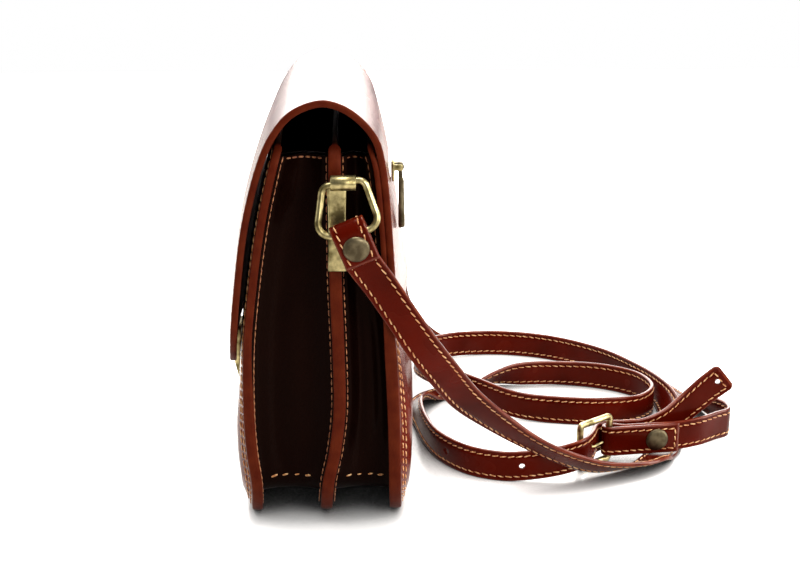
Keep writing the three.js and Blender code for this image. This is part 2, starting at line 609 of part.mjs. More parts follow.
// The two straps
const shortLine = strapLine([...loops.far, ...laid(SHORT_ROUTE), ...fold]);
addPiece('strap_short', strap(shortLine, () => 1), 'leather');
const longLine = strapLine([...loops.near, ...laid(LONG_ROUTE)]);
const tip = [0.68];
const pinned = nearest(longLine, inFrame(PRONG.cross, 0));
const holes = [-2, -1, 0, 1, 2].map((i) => {
  const { centre, face } = frameAt(longLine, pinned + i * HOLE_PITCH);
  return rod(centre, face, i === 0 ? PRONG.hole : HOLE_RADIUS, 3 * STRAP_LEATHER, 10);
});
addPiece('strap_long', cut(strap(longLine, (left) => tip[left] ?? 1), ...holes), 'leather');

// Clasp catch below the flap's front edge
const claspShape = new THREE.Shape();
const claspHeights = [0, 0.25, 0.5, 0.75, 1].map((u) => CLASP.low + u * (CLASP.high - CLASP.low));
const claspFace = Math.min(...claspHeights.map((z) => frontOuter(0, z))) - GAP;
claspShape.moveTo(claspFace, CLASP.low);
claspShape.lineTo(claspFace, CLASP.high);
claspShape.lineTo(claspFace - CLASP.depth, CLASP.high);
claspShape.lineTo(claspFace - CLASP.depth, CLASP.low + 14);
claspShape.lineTo(claspFace - 1, CLASP.low);
const clasp = new THREE.ExtrudeGeometry(claspShape, { depth: CLASP.width, bevelEnabled: false });
clasp.translate(0, 0, -CLASP.width / 2);
clasp.applyMatrix4(new THREE.Matrix4().makeBasis(
  new THREE.Vector3(0, 1, 0), new THREE.Vector3(0, 0, 1), new THREE.Vector3(1, 0, 0)));
addPiece('clasp_catch', clasp, 'brass');

// Zip in the window of the flap's tail, lying on the back panel
addPiece('zip_chain', zipStrip(ZIP.half, ZIP.chain / 2, GAP, GAP + ZIP.thick), 'brass');

// Slider with two ears that carry the pull's pin
const seat = tailOuter(SLIDER.x - SLIDER.width / 2, ZIP.z - SLIDER.height / 2) + GAP;
const pivot = new THREE.Vector3(SLIDER.x, seat + SLIDER.pivot, ZIP.z + 2);
const sliderEars = [-1, 1].map((s) => {
  const outerEdge = SLIDER.x + s * (SLIDER.width / 2);
  const innerEdge = outerEdge - s * SLIDER.ear;
  return block(
    [Math.min(outerEdge, innerEdge), seat, pivot.z - 1.6],
    [Math.max(outerEdge, innerEdge), pivot.y + 1.5, pivot.z + 1.6],
  );
});
const sliderPin = rod(pivot, new THREE.Vector3(1, 0, 0), SLIDER.pin, SLIDER.width - SLIDER.ear, 12);
const sliderBase = block(
  [SLIDER.x - SLIDER.width / 2, seat, ZIP.z - SLIDER.height / 2],
  [SLIDER.x + SLIDER.width / 2, seat + SLIDER.thick, ZIP.z + SLIDER.height / 2],
);
addPiece('zip_slider', join(sliderBase, ...sliderEars, sliderPin), 'brass');

// Pull: a flat tab hanging from its eye, with a slot through its rounded end
const tab = new THREE.Shape();
const tabHalf = PULL.width / 2;
const endCentre = -(PULL.length - PULL.eye - tabHalf);
tab.moveTo(PULL.neck / 2, 0);
tab.lineTo(PULL.neck / 2, -8);
tab.lineTo(tabHalf, endCentre);
tab.absarc(0, endCentre, tabHalf, 0, -Math.PI, true);
tab.lineTo(-PULL.neck / 2, -8);
tab.lineTo(-PULL.neck / 2, 0);
const slot = new THREE.Path();
slot.absarc(0, endCentre, PULL.slot, 0, 2 * Math.PI, false);
tab.holes.push(slot);
const tabBody = new THREE.ExtrudeGeometry(tab, { depth: PULL.thick, bevelEnabled: false, curveSegments: 10 });
tabBody.translate(0, 0, -PULL.thick / 2);
tabBody.applyMatrix4(new THREE.Matrix4().makeBasis(
  new THREE.Vector3(1, 0, 0), new THREE.Vector3(0, 0, 1), new THREE.Vector3(0, -1, 0)));
tabBody.translate(pivot.x, pivot.y, pivot.z);
const eyeBody = rod(pivot, new THREE.Vector3(1, 0, 0), PULL.eye, PULL.neck, 16);
const eyeBore = rod(pivot, new THREE.Vector3(1, 0, 0), PULL.bore, PULL.neck + 4, 16);
addPiece('zip_pull', cut(join(tabBody, eyeBody), eyeBore), 'brass');

export default bag;
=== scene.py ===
# %% [markdown]
# # A flap bag in glazed leather
# The bag is a handful of leather sheets, each cut flat, bent, sewn and edge-painted, with antique brass
# fittings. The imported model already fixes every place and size, so it is loaded first and never moved.
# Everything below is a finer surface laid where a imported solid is.

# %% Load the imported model
import math

import bpy
import numpy as np
from mathutils import Matrix


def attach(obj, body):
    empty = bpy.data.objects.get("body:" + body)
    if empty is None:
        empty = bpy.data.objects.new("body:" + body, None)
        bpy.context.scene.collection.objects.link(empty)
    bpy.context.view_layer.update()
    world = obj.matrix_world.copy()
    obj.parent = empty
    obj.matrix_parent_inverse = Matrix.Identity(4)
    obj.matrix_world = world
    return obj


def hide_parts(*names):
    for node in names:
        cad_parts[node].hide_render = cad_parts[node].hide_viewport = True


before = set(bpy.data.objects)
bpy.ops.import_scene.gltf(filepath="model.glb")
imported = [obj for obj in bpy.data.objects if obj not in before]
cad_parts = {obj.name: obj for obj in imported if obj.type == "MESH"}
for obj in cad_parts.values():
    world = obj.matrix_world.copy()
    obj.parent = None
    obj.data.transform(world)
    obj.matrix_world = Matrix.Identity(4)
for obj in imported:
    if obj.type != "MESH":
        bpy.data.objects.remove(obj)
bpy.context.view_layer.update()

MM = 0.001

# %% [markdown]
# ## Camera
# A product photograph has one viewpoint. The focal length in pixels, the place and the two angles say
# where it was, and Blender wants the same thing as a lens in millimetres and a matrix whose columns
# are the camera's right, up and backward directions.

# %% Camera at the photograph's viewpoint
IMAGE_WIDTH_PX = 800
SENSOR_MM = 36.0
FOCAL_PX = 1427.05
PITCH_DOWN = math.radians(16.805)
YAW = math.radians(2.197)
VIEWPOINT_MM = np.array([793.47, 12.97, 340.93])

forward = np.array([-math.cos(PITCH_DOWN) * math.cos(YAW), math.cos(PITCH_DOWN) * math.sin(YAW),
                    -math.sin(PITCH_DOWN)])
right = np.array([math.sin(YAW), math.cos(YAW), 0.0])
upward = np.cross(right, forward)
camera_data = bpy.data.cameras.new("camera")
camera_data.sensor_width = SENSOR_MM
camera_data.sensor_fit = "HORIZONTAL"
camera_data.lens = FOCAL_PX * SENSOR_MM / IMAGE_WIDTH_PX
camera_data.clip_start = 0.01
camera_data.clip_end = 50.0
camera = bpy.data.objects.new("camera", camera_data)
pose = np.eye(4)
pose[:3, 0], pose[:3, 1], pose[:3, 2] = right, upward, -forward
pose[:3, 3] = VIEWPOINT_MM * MM
camera.matrix_world = Matrix(pose.tolist())
bpy.context.scene.collection.objects.link(camera)
bpy.context.scene.camera = camera
print("lens", round(camera_data.lens, 2), "mm")

# %% [markdown]
# ## Nodes and colours
# Every material below is a short chain of nodes. One function adds a node, sets it and links it, and one
# function turns an sRGB hex colour, as a paint chart gives it, into the linear numbers a renderer uses.
# A Mix node has a socket of the same name for every type of value, so its sockets go by number here.

# %% Helpers for nodes
COLOUR_A, COLOUR_B, NUMBER_A, NUMBER_B = 6, 7, 2, 3
COLOUR_MIX = {"data_type": "RGBA", "give": 2}
LOW, HIGH, TO_LOW, TO_HIGH = 1, 2, 3, 4


def linear(hex_colour):
    """sRGB to linear light: c / 12.92 near black, else ((c + 0.055) / 1.055) to the power 2.4."""
    c = np.array([int(hex_colour[i:i + 2], 16) for i in (1, 3, 5)]) / 255
    c = np.where(c <= 0.04045, c / 12.92, ((c + 0.055) / 1.055) ** 2.4)
    return (*[float(v) for v in c], 1.0)


def add(tree, kind, links=None, give=None, **settings):
    """Adds a node. links gives each input a value, or the output socket that feeds it. Returns the node, or
    the output that give names."""
    node = tree.nodes.new(kind)
    for name, value in settings.items():
        setattr(node, name, value)
    for socket, source in (links or {}).items():
        if isinstance(source, bpy.types.NodeSocket):
            tree.links.new(source, node.inputs[socket])
        else:
            node.inputs[socket].default_value = source
    return node if give is None else node.outputs[give]


def per_metre(size_mm):
    """Texture scale whose cells are size_mm wide on Object coordinates in metres."""
    return 1.0 / (size_mm * MM)


def new_tree(name):
    """New material and its node tree, emptied."""
    material = bpy.data.materials.new(name)
    material.use_nodes = True
    material.node_tree.nodes.clear()
    return material, material.node_tree


print("mid grey in linear light", round(linear("#808080")[0], 3))

# %% [markdown]
# ## Studio
# The photograph has a white sweep: everything behind the bag is paper white, the light is soft and comes
# mostly from above and behind, and little comes from the camera's side, so that recesses go nearly black.
# A world that is bright above and behind and dim in front gives that with no hard lamp edges. The camera
# itself sees it as plain white paper.

# %% White sweep
SKY_HORIZON, SKY_OVERHEAD, SKY_BEHIND = 0.06, 0.5, 0.5
scene = bpy.context.scene
scene.view_settings.view_transform = "Standard"
scene.view_settings.look = "None"
world = bpy.data.worlds.new("studio")
world.use_nodes = True
scene.world = world
sky = world.node_tree
sky.nodes.clear()
direction = add(sky, "ShaderNodeSeparateXYZ", {0: add(sky, "ShaderNodeTexCoord", give="Generated")})
from_above = add(sky, "ShaderNodeMapRange", {
    0: direction.outputs["Z"], LOW: 0.15, HIGH: 0.95, TO_LOW: SKY_HORIZON, TO_HIGH: SKY_OVERHEAD}, 0)
from_behind = add(sky, "ShaderNodeMapRange", {
    0: direction.outputs["X"], LOW: 0.2, HIGH: -0.8, TO_LOW: 0.0, TO_HIGH: SKY_BEHIND}, 0)
strength = add(sky, "ShaderNodeMath", {0: from_above, 1: from_behind}, 0, operation="ADD")
glow = add(sky, "ShaderNodeBackground", {"Color": linear("#FFFFFF"), "Strength": strength}, 0)
paper = add(sky, "ShaderNodeBackground", {"Color": linear("#FFFFFF"), "Strength": 1.0}, 0)
seen = add(sky, "ShaderNodeLightPath", give="Is Camera Ray")
both = add(sky, "ShaderNodeMixShader", {0: seen, 1: glow, 2: paper}, 0)
add(sky, "ShaderNodeOutputWorld", {"Surface": both})
print("sky", SKY_HORIZON, "at the horizon,", SKY_OVERHEAD, "overhead")

# %% [markdown]
# Five soft lamps do the rest. A large one behind lays the long sheen on leather that faces up, one above
# lights the strap, and weak ones at the sides and in front keep the shapes readable.

# %% Lamps
LAMP_COLOUR = (1.0, 0.965, 0.92)


def softbox(name, place_mm, aim_mm, width_mm, height_mm, watts):
    """Rectangular lamp at a place, turned so that its face looks at a point."""
    lamp = bpy.data.lights.new(name, "AREA")
    lamp.shape = "RECTANGLE"
    lamp.size, lamp.size_y = width_mm * MM, height_mm * MM
    lamp.energy = watts
    lamp.color = LAMP_COLOUR
    holder = bpy.data.objects.new(name, lamp)
    place, aim = np.array(place_mm) * MM, np.array(aim_mm) * MM
    back = (place - aim) / np.linalg.norm(place - aim)
    side = np.cross([0.0, 0.0, 1.0], back)
    side = side / np.linalg.norm(side)
    turn = np.eye(4)
    turn[:3, 0], turn[:3, 1], turn[:3, 2], turn[:3, 3] = side, np.cross(back, side), back, place
    holder.matrix_world = Matrix(turn.tolist())
    holder.visible_camera = False
    scene.collection.objects.link(holder)
    return holder


softbox("lamp_behind", (-1500, 60, 700), (0, 30, 100), 2200, 900, 45)
softbox("lamp_above", (-100, 60, 1300), (0, 60, 0), 700, 900, 22)
softbox("lamp_right", (150, 1300, 500), (0, 50, 80), 350, 1100, 14)
softbox("lamp_left", (200, -1300, 500), (0, -20, 90), 350, 1100, 3)
softbox("lamp_front", (1100, 650, 650), (0, 90, 60), 600, 500, 11)

# %% [markdown]
# The floor is a white board. For the camera a shadow and a glow are painted on it: a painted shadow where a
# piece stands close over it, which the Ambient Occlusion node measures, and a painted glow, weak near the
# bag and full far from it, so that its rim doesn't show. Other rays meet a duller board, or it would fill
# the recesses with light.

# %% Floor
FLOOR_REACH_MM, SHADE_MM = 1600, 60
NEAR_FLOOR_MM, FAR_FLOOR_MM = 400, 900
NEAR_GLOW, FAR_GLOW = 0.3, 1.0
BOARD_WHITE, BOARD_SHADE, BOARD_FILL = "#F8F8F8", "#0A0807", "#C8C4C0"
floor_mesh = bpy.data.meshes.new("floor")
reach = FLOOR_REACH_MM * MM
floor_mesh.from_pydata([(-reach, -reach, 0), (reach, -reach, 0), (reach, reach, 0), (-reach, reach, 0)], [],
                       [(0, 1, 2, 3)])
floor = bpy.data.objects.new("floor", floor_mesh)
scene.collection.objects.link(floor)
sweep, tree = new_tree("white_sweep_board")
straight = add(tree, "ShaderNodeLightPath", give="Is Camera Ray")
open_sky = add(tree, "ShaderNodeAmbientOcclusion", {"Distance": SHADE_MM * MM}, "AO", samples=8)
open_sky = add(tree, "ShaderNodeMapRange", {0: open_sky, LOW: 0.1, HIGH: 0.7}, 0)
# Painted shadow: BOARD_SHADE where a piece stands close above, BOARD_WHITE in the open.
shaded = add(tree, "ShaderNodeMix", {
    0: open_sky, COLOUR_A: linear(BOARD_SHADE), COLOUR_B: linear(BOARD_WHITE)}, **COLOUR_MIX)
lit = add(tree, "ShaderNodeMix", {0: straight, COLOUR_A: linear(BOARD_FILL), COLOUR_B: shaded}, **COLOUR_MIX)
from_bag = add(tree, "ShaderNodeVectorMath", {0: add(tree, "ShaderNodeTexCoord", give="Object")}, "Value",
               operation="LENGTH")
glow_level = add(tree, "ShaderNodeMapRange", {
    0: from_bag, LOW: NEAR_FLOOR_MM * MM, HIGH: FAR_FLOOR_MM * MM, TO_LOW: NEAR_GLOW, TO_HIGH: FAR_GLOW}, 0)
# Painted glow: an emission seen only by the camera, dimmed in the painted shadow.
seen_open = add(tree, "ShaderNodeMath", {0: straight, 1: open_sky}, 0, operation="MULTIPLY")
board_glow = add(tree, "ShaderNodeMath", {0: seen_open, 1: glow_level}, 0, operation="MULTIPLY")
board = add(tree, "ShaderNodeBsdfPrincipled", {
    "Base Color": lit, "Roughness": 0.22, "Specular IOR Level": 0.35, "Emission Color": linear("#FFFFFF"),
    "Emission Strength": board_glow}, "BSDF")
add(tree, "ShaderNodeOutputMaterial", {"Surface": board})
floor_mesh.materials.append(sweep)
print("floor", 2 * FLOOR_REACH_MM, "mm across")

# %% [markdown]
# ## Glazed leather
# The panels and straps are smooth calf, dyed red-brown and glazed: a thin shiny coat over a fine grain, so
# the gloss is broken by pores about a millimetre apart and the colour clouds a little. Cut edges are
# sanded and painted in a flatter brown. The side that faces in, and on the panels the top edges that are
# not sewn, are coloured nearly black and matte: painted shade for the dark inside of the bag. Each sheet
# carries two attributes, edge and inside, that say which of the three a point is.

# %% Leather
GRAIN_MM, PORE_MM, CLOUD_MM, CREASE_MM = 1.1, 0.45, 28.0, 9.0
CLOUDS, CREASES = {LOW: 0.2, HIGH: 0.8}, {LOW: 0.35, HIGH: 0.7}
GRAIN_DEPTH_MM = 0.3
GLAZE_TINT = "#FFA57E"
FLESH_ROUGHNESS = 0.95


def glazed_leather(name, deep, warm, paint, inside, gloss, gloss_level, glaze, edge_gloss=0.48,
                   edge_glaze=0.0):
    """Dyed and glazed calf: cloudy dye, pores as bump, painted edges, and a nearly black inside as painted
    shade.
    """
    material, tree = new_tree(name)
    place = add(tree, "ShaderNodeTexCoord", give="Object")
    cloud = add(tree, "ShaderNodeTexNoise", {
        "Vector": place, "Scale": per_metre(CLOUD_MM), "Detail": 2.0}, "Fac")
    crease = add(tree, "ShaderNodeTexNoise", {
        "Vector": place, "Scale": per_metre(CREASE_MM), "Detail": 3.0}, "Fac")
    grain = add(tree, "ShaderNodeTexVoronoi", {"Vector": place, "Scale": per_metre(GRAIN_MM)}, "Distance")
    pore = add(tree, "ShaderNodeTexNoise", {
        "Vector": place, "Scale": per_metre(PORE_MM), "Detail": 2.0}, "Fac")
    on_edge = add(tree, "ShaderNodeAttribute", give="Fac", attribute_name="edge")
    on_inside = add(tree, "ShaderNodeAttribute", give="Fac", attribute_name="inside")
    clouded = add(tree, "ShaderNodeMapRange", {0: cloud, **CLOUDS}, 0)
    creased = add(tree, "ShaderNodeMapRange", {0: crease, **CREASES}, 0)
    dye = add(tree, "ShaderNodeMix", {
        0: clouded, COLOUR_A: linear(deep), COLOUR_B: linear(warm)}, **COLOUR_MIX)
    worn = add(tree, "ShaderNodeMix", {
        0: creased, COLOUR_A: linear(paint[0]), COLOUR_B: linear(paint[1])}, **COLOUR_MIX)
    colour = add(tree, "ShaderNodeMix", {
        # Where inside is 1, the nearly black inside colour is painted shade.
        0: on_inside, COLOUR_A: dye, COLOUR_B: linear(inside)}, **COLOUR_MIX)
    colour = add(tree, "ShaderNodeMix", {0: on_edge, COLOUR_A: colour, COLOUR_B: worn}, **COLOUR_MIX)
    shine = add(tree, "ShaderNodeMapRange", {
        0: cloud, **CLOUDS, TO_LOW: gloss - 0.04, TO_HIGH: gloss + 0.06}, 0)
    rough = add(tree, "ShaderNodeMix", {0: on_edge, NUMBER_A: shine, NUMBER_B: edge_gloss}, 0)
    rough = add(tree, "ShaderNodeMix", {0: on_inside, NUMBER_A: rough, NUMBER_B: FLESH_ROUGHNESS}, 0)
    coat = add(tree, "ShaderNodeMix", {0: on_edge, NUMBER_A: glaze, NUMBER_B: edge_glaze}, 0)
    coat = add(tree, "ShaderNodeMix", {0: on_inside, NUMBER_A: coat, NUMBER_B: 0.0}, 0)
    skin = add(tree, "ShaderNodeMath", {0: grain, 1: pore}, 0, operation="ADD")
    bump = add(tree, "ShaderNodeBump", {
        "Height": skin, "Strength": 0.16, "Distance": GRAIN_DEPTH_MM * MM}, "Normal")
    bsdf = add(tree, "ShaderNodeBsdfPrincipled", {
        "Base Color": colour, "Roughness": rough, "Normal": bump, "IOR": 1.5,
        "Specular IOR Level": gloss_level, "Specular Tint": linear(GLAZE_TINT), "Coat Weight": coat,
        "Coat Roughness": 0.1}, "BSDF")
    add(tree, "ShaderNodeOutputMaterial", {"Surface": bsdf})
    return material


EDGE_PAINT, STRAP_EDGE_PAINT = ("#461106", "#551D0C"), ("#50150A", "#6C2A14")
# The body's nearly black inside colour is painted shade for the inside of the bag.
BODY_LEATHER = glazed_leather("glazed_calf_body", "#4C0D04", "#691909", EDGE_PAINT, "#0A0201",
                              0.24, 0.2, 0.22)
STRAP_LEATHER_LOOK = glazed_leather("glazed_calf_strap", "#330401", "#540B02", STRAP_EDGE_PAINT, "#330401",
                                    0.24, 0.11, 0.04, edge_gloss=0.26, edge_glaze=0.4)
GUSSET_LEATHER_LOOK = glazed_leather("soft_glazed_kid", "#050101", "#0E0302", EDGE_PAINT, "#060101",
                                     0.42, 0.05, 0.02)
print("leathers", BODY_LEATHER.name, STRAP_LEATHER_LOOK.name, GUSSET_LEATHER_LOOK.name)

# %% [markdown]
# ## Thread, brass and tape
# The thread is waxed linen, two plies that catch the light as slanted bands. The brass is plated, darkened
# and rubbed back, so it is brighter where hands touch it and brown in patches. The zip tape is a plain
# twill. A diagonal wave of scale s repeats every 0.36 / s metres, so the divisor below draws the plies and
# the twill about 2.3 times as coarse as they are, or they would not show.

# %% Thread
PLY_MM, SOIL_MM = 0.9, 6.0
WAVE_DIVISOR = 6.3
FINE_BUMP_MM = 0.2


def waxed_thread(name, light, dark):
    """Waxed linen: slanted ply bands in two shades, with a soft sheen."""
    material, tree = new_tree(name)
    place = add(tree, "ShaderNodeTexCoord", give="Object")
    ply = add(tree, "ShaderNodeTexWave", {
        "Vector": place, "Scale": per_metre(PLY_MM) / WAVE_DIVISOR, "Distortion": 1.5}, "Fac",
              bands_direction="DIAGONAL")
    soil = add(tree, "ShaderNodeTexNoise", {"Vector": place, "Scale": per_metre(SOIL_MM)}, "Fac")
    shade = add(tree, "ShaderNodeMath", {0: ply, 1: soil}, 0, operation="MULTIPLY")
    shade = add(tree, "ShaderNodeMapRange", {0: shade, LOW: 0.05, HIGH: 0.6}, 0)
    colour = add(tree, "ShaderNodeMix", {
        0: shade, COLOUR_A: linear(dark), COLOUR_B: linear(light)}, **COLOUR_MIX)
    bump = add(tree, "ShaderNodeBump", {
        "Height": ply, "Strength": 0.3, "Distance": FINE_BUMP_MM * MM}, "Normal")
    bsdf = add(tree, "ShaderNodeBsdfPrincipled", {
        "Base Color": colour, "Roughness": 0.55, "Normal": bump, "Sheen Weight": 0.2}, "BSDF")
    add(tree, "ShaderNodeOutputMaterial", {"Surface": bsdf})
    return material


LIGHT_THREAD = waxed_thread("waxed_linen_thread", "#EDBE86", "#B9743C")
# The second, darker copy of the same thread is painted shade, for the rows on the flanges, across the
# gussets' tops and on the flap.
SHADED_THREAD = waxed_thread("waxed_linen_thread_painted_shade", "#CF8C58", "#93502E")
print("threads", LIGHT_THREAD.name, SHADED_THREAD.name)

# %% Brass and tape
TARNISH_MM, SCRATCH_MM, TWILL_MM = 6.0, 0.8, 1.0


def antique_brass(name, dark, bright, smooth):
    """Darkened and rubbed brass: tarnish in patches, fine scratches, satin gloss."""
    material, tree = new_tree(name)
    place = add(tree, "ShaderNodeTexCoord", give="Object")
    tarnish = add(tree, "ShaderNodeTexNoise", {
        "Vector": place, "Scale": per_metre(TARNISH_MM), "Detail": 6.0}, "Fac")
    scratch = add(tree, "ShaderNodeTexNoise", {
        "Vector": place, "Scale": per_metre(SCRATCH_MM), "Detail": 3.0}, "Fac")
    rubbed = add(tree, "ShaderNodeMapRange", {0: tarnish, LOW: 0.36, HIGH: 0.62}, 0)
    colour = add(tree, "ShaderNodeMix", {
        0: rubbed, COLOUR_A: linear(dark), COLOUR_B: linear(bright)}, **COLOUR_MIX)
    rough = add(tree, "ShaderNodeMapRange", {
        0: tarnish, LOW: 0.3, HIGH: 0.7, TO_LOW: smooth + 0.14, TO_HIGH: smooth}, 0)
    bump = add(tree, "ShaderNodeBump", {
        "Height": scratch, "Strength": 0.14, "Distance": FINE_BUMP_MM * MM}, "Normal")
    bsdf = add(tree, "ShaderNodeBsdfPrincipled", {
        "Base Color": colour, "Metallic": 1.0, "Roughness": rough, "Normal": bump}, "BSDF")
    add(tree, "ShaderNodeOutputMaterial", {"Surface": bsdf})
    return material


def twill_tape(name, light, dark):
    """Woven zip tape: diagonal ribs a thread apart."""
    material, tree = new_tree(name)
    place = add(tree, "ShaderNodeTexCoord", give="Object")
    rib = add(tree, "ShaderNodeTexWave", {
        "Vector": place, "Scale": per_metre(TWILL_MM) / WAVE_DIVISOR}, "Fac", bands_direction="DIAGONAL")
    colour = add(tree, "ShaderNodeMix", {
        0: rib, COLOUR_A: linear(dark), COLOUR_B: linear(light)}, **COLOUR_MIX)
    bump = add(tree, "ShaderNodeBump", {
        "Height": rib, "Strength": 0.5, "Distance": FINE_BUMP_MM * MM}, "Normal")
    bsdf = add(tree, "ShaderNodeBsdfPrincipled", {
        "Base Color": colour, "Roughness": 0.85, "Normal": bump}, "BSDF")
    add(tree, "ShaderNodeOutputMaterial", {"Surface": bsdf})
    return material


BRASS = antique_brass("antique_brass", "#6F6440", "#D8CA92", 0.27)
CAP_BRASS = antique_brass("antique_brass_cap", "#4E4534", "#70664F", 0.38)
TAPE = twill_tape("brown_zip_tape", "#2A120B", "#160805")
print("metals", BRASS.name, CAP_BRASS.name, "tape", TAPE.name)

# %% [markdown]
# ## From arrays to meshes
# Each piece below is worked out as whole arrays. Two helpers cover nearly everything. The first puts
# points and faces into a mesh object and turns it the right way out. The second is a loft: a row of
# closed loops, joined loop to loop, whose ends are capped or joined to each other.


# %% Mesh from arrays
def make_piece(name, points_mm, faces, material, **attributes):
    """Mesh object from points in millimetres and rows of four or three corners (-1 fills a three).
    The signed volume, the sum of a . (b x c) over triangles, says whether the faces point out."""
    faces = np.asarray(faces)
    three = faces[:, 3] < 0
    a, b, c = points_mm[faces[:, 0]], points_mm[faces[:, 1]], points_mm[faces[:, 2]]
    d = np.where(three[:, None], a, points_mm[faces[:, 3]])
    volume = (a * np.cross(b, c)).sum() + (a * np.cross(c, d)).sum()
    if volume < 0:
        faces = np.where(three[:, None], faces[:, [0, 2, 1, 3]], faces[:, [3, 2, 1, 0]])
    corners = faces.ravel()
    corners = corners[corners >= 0]
    sizes = np.where(three, 3, 4)
    mesh = bpy.data.meshes.new(name)
    mesh.vertices.add(len(points_mm))
    mesh.vertices.foreach_set("co", (points_mm * MM).astype(np.float32).ravel())
    mesh.loops.add(len(corners))
    mesh.loops.foreach_set("vertex_index", corners.astype(np.int32))
    mesh.polygons.add(len(faces))
    mesh.polygons.foreach_set("loop_start", np.concatenate([[0], np.cumsum(sizes)[:-1]]).astype(np.int32))
    mesh.polygons.foreach_set("use_smooth", np.ones(len(faces), bool))
    for key, values in attributes.items():
        mesh.attributes.new(key, "FLOAT", "POINT")
        mesh.attributes[key].data.foreach_set("value", np.asarray(values, np.float32).ravel())
    mesh.update(calc_edges=True)
    mesh.validate()
    mesh.materials.append(material)
    piece = bpy.data.objects.new(name, mesh)
    scene.collection.objects.link(piece)
    return piece


def dress(piece, slot, *nodes, body="bag"):
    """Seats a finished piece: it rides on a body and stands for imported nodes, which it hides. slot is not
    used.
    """
    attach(piece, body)
    if nodes:
        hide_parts(*nodes)
    print(piece.name, len(piece.data.polygons), "faces")
    return piece


# %% Grids, fans and lofts
def strip_faces(rows, columns, wrap_rows, wrap_columns):
    """Quads of a grid of rows and columns, numbered row by row, joined round where asked."""
    r = np.arange(rows if wrap_rows else rows - 1)[:, None]
    c = np.arange(columns if wrap_columns else columns - 1)[None, :]
    r2, c2 = (r + 1) % rows, (c + 1) % columns
    quad = [r * columns + c, r * columns + c2, r2 * columns + c2, r2 * columns + c]
    return np.stack([np.broadcast_to(q, (r.size, c.size)) for q in quad], -1).reshape(-1, 4)


def fan_faces(loop, hub):
    """Triangles from a closed loop of point numbers to one hub point."""
    after = np.roll(loop, -1)
    return np.stack([loop, after, np.full_like(loop, hub), np.full_like(loop, -1)], -1)


def loft(loops, joined=False):
    """Points and faces of closed loops carried along a path, capped at both ends or joined end to end."""
    rows, columns = loops.shape[:2]
    points = loops.reshape(-1, 3)
    faces = strip_faces(rows, columns, joined, True)
    if joined:
        return points, faces
    first = np.arange(columns)
    last = first + (rows - 1) * columns
    hubs = np.stack([loops[0].mean(0), loops[-1].mean(0)])
    caps = [fan_faces(first[::-1], len(points)), fan_faces(last, len(points) + 1)]
    return np.concatenate([points, hubs]), np.concatenate([faces, *caps])


def together(parts):
    """Several points-and-faces pairs as one."""
    points = np.concatenate([p for p, _ in parts])
    starts = np.cumsum([0] + [len(p) for p, _ in parts[:-1]])
    faces = np.concatenate([np.where(f < 0, -1, f + start) for (_, f), start in zip(parts, starts)])
    return points, faces


print("three squares in a row make", len(loft(np.zeros((3, 4, 3)))[1]), "faces")

# %% [markdown]
# ## Curves
# Two kinds of line shape the bag: outlines, which are straight runs with rounded corners, and free curves
# through a few chosen points. A Catmull-Rom curve suits the second, because it passes through its
# points and bends no more than they ask.

# %% Outlines
ARC_STEPS = 25


def unit(v):
    """Vectors divided by their length."""
    return v / np.linalg.norm(v, axis=-1, keepdims=True)


def rounded_outline(corners, radii, count):
    """Closed outline through rounded corners, as points evenly spaced along it. Each corner becomes an arc
    that touches both its sides at radius / tan(half the angle) from the corner."""
    corners = np.asarray(corners, float)
    to_before = unit(np.roll(corners, 1, 0) - corners)
    to_after = unit(np.roll(corners, -1, 0) - corners)
    half = np.arccos((to_before * to_after).sum(1)) / 2
    radii = np.asarray(radii, float)
    centre = corners + unit(to_before + to_after) * (radii / np.sin(half))[:, None]
    start = corners + to_before * (radii / np.tan(half))[:, None] - centre
    end = corners + to_after * (radii / np.tan(half))[:, None] - centre
    first = np.arctan2(start[:, 1], start[:, 0])
    sweep_angle = np.arctan2(end[:, 1], end[:, 0]) - first
    sweep_angle = (sweep_angle + np.pi) % (2 * np.pi) - np.pi
    angle = first[:, None] + sweep_angle[:, None] * np.linspace(0, 1, ARC_STEPS)
    arcs = centre[:, None] + radii[:, None, None] * np.stack([np.cos(angle), np.sin(angle)], -1)
    return evenly(arcs.reshape(-1, 2), count, closed=True)


def evenly(points, count, closed=False):
    """Points spaced evenly by length along a line."""
    line = np.concatenate([points, points[:1]]) if closed else points
    length = np.concatenate([[0], np.cumsum(np.linalg.norm(np.diff(line, axis=0), axis=1))])
    at = np.linspace(0, length[-1], count, endpoint=not closed)
    return np.stack([np.interp(at, length, line[:, k]) for k in range(line.shape[1])], -1)


print("a rounded square", rounded_outline([(0, 0), (1, 0), (1, 1), (0, 1)], [0.25] * 4, 4).round(2).tolist())


# %% Free curves
def curve_through(points, at, knot_power):
    """Catmull-Rom curve at positions counted in spans. Knots lie apart by the chord to knot_power: 0.5 makes
    it centripetal and 0 even. Each span is a cubic with end slopes taken from the points around it."""
    p = np.asarray(points, float)
    p = np.concatenate([[2 * p[0] - p[1]], p, [2 * p[-1] - p[-2]]])
    span = np.minimum(np.floor(at).astype(int), len(p) - 4)
    t = (at - span)[:, None]
    x0, x1, x2, x3 = (p[span + k] for k in range(4))
    knot = [np.maximum(np.linalg.norm(b - a, axis=1), 1e-6)[:, None] ** knot_power
            for a, b in ((x0, x1), (x1, x2), (x2, x3))]
    m1 = ((x1 - x0) / knot[0] - (x2 - x0) / (knot[0] + knot[1]) + (x2 - x1) / knot[1]) * knot[1]
    m2 = ((x2 - x1) / knot[1] - (x3 - x1) / (knot[1] + knot[2]) + (x3 - x2) / knot[2]) * knot[1]
    c2 = -3 * x1 + 3 * x2 - 2 * m1 - m2
    c3 = 2 * x1 - 2 * x2 + m1 + m2
    return x1 + m1 * t + c2 * t ** 2 + c3 * t ** 3, m1 + 2 * c2 * t + 3 * c3 * t ** 2


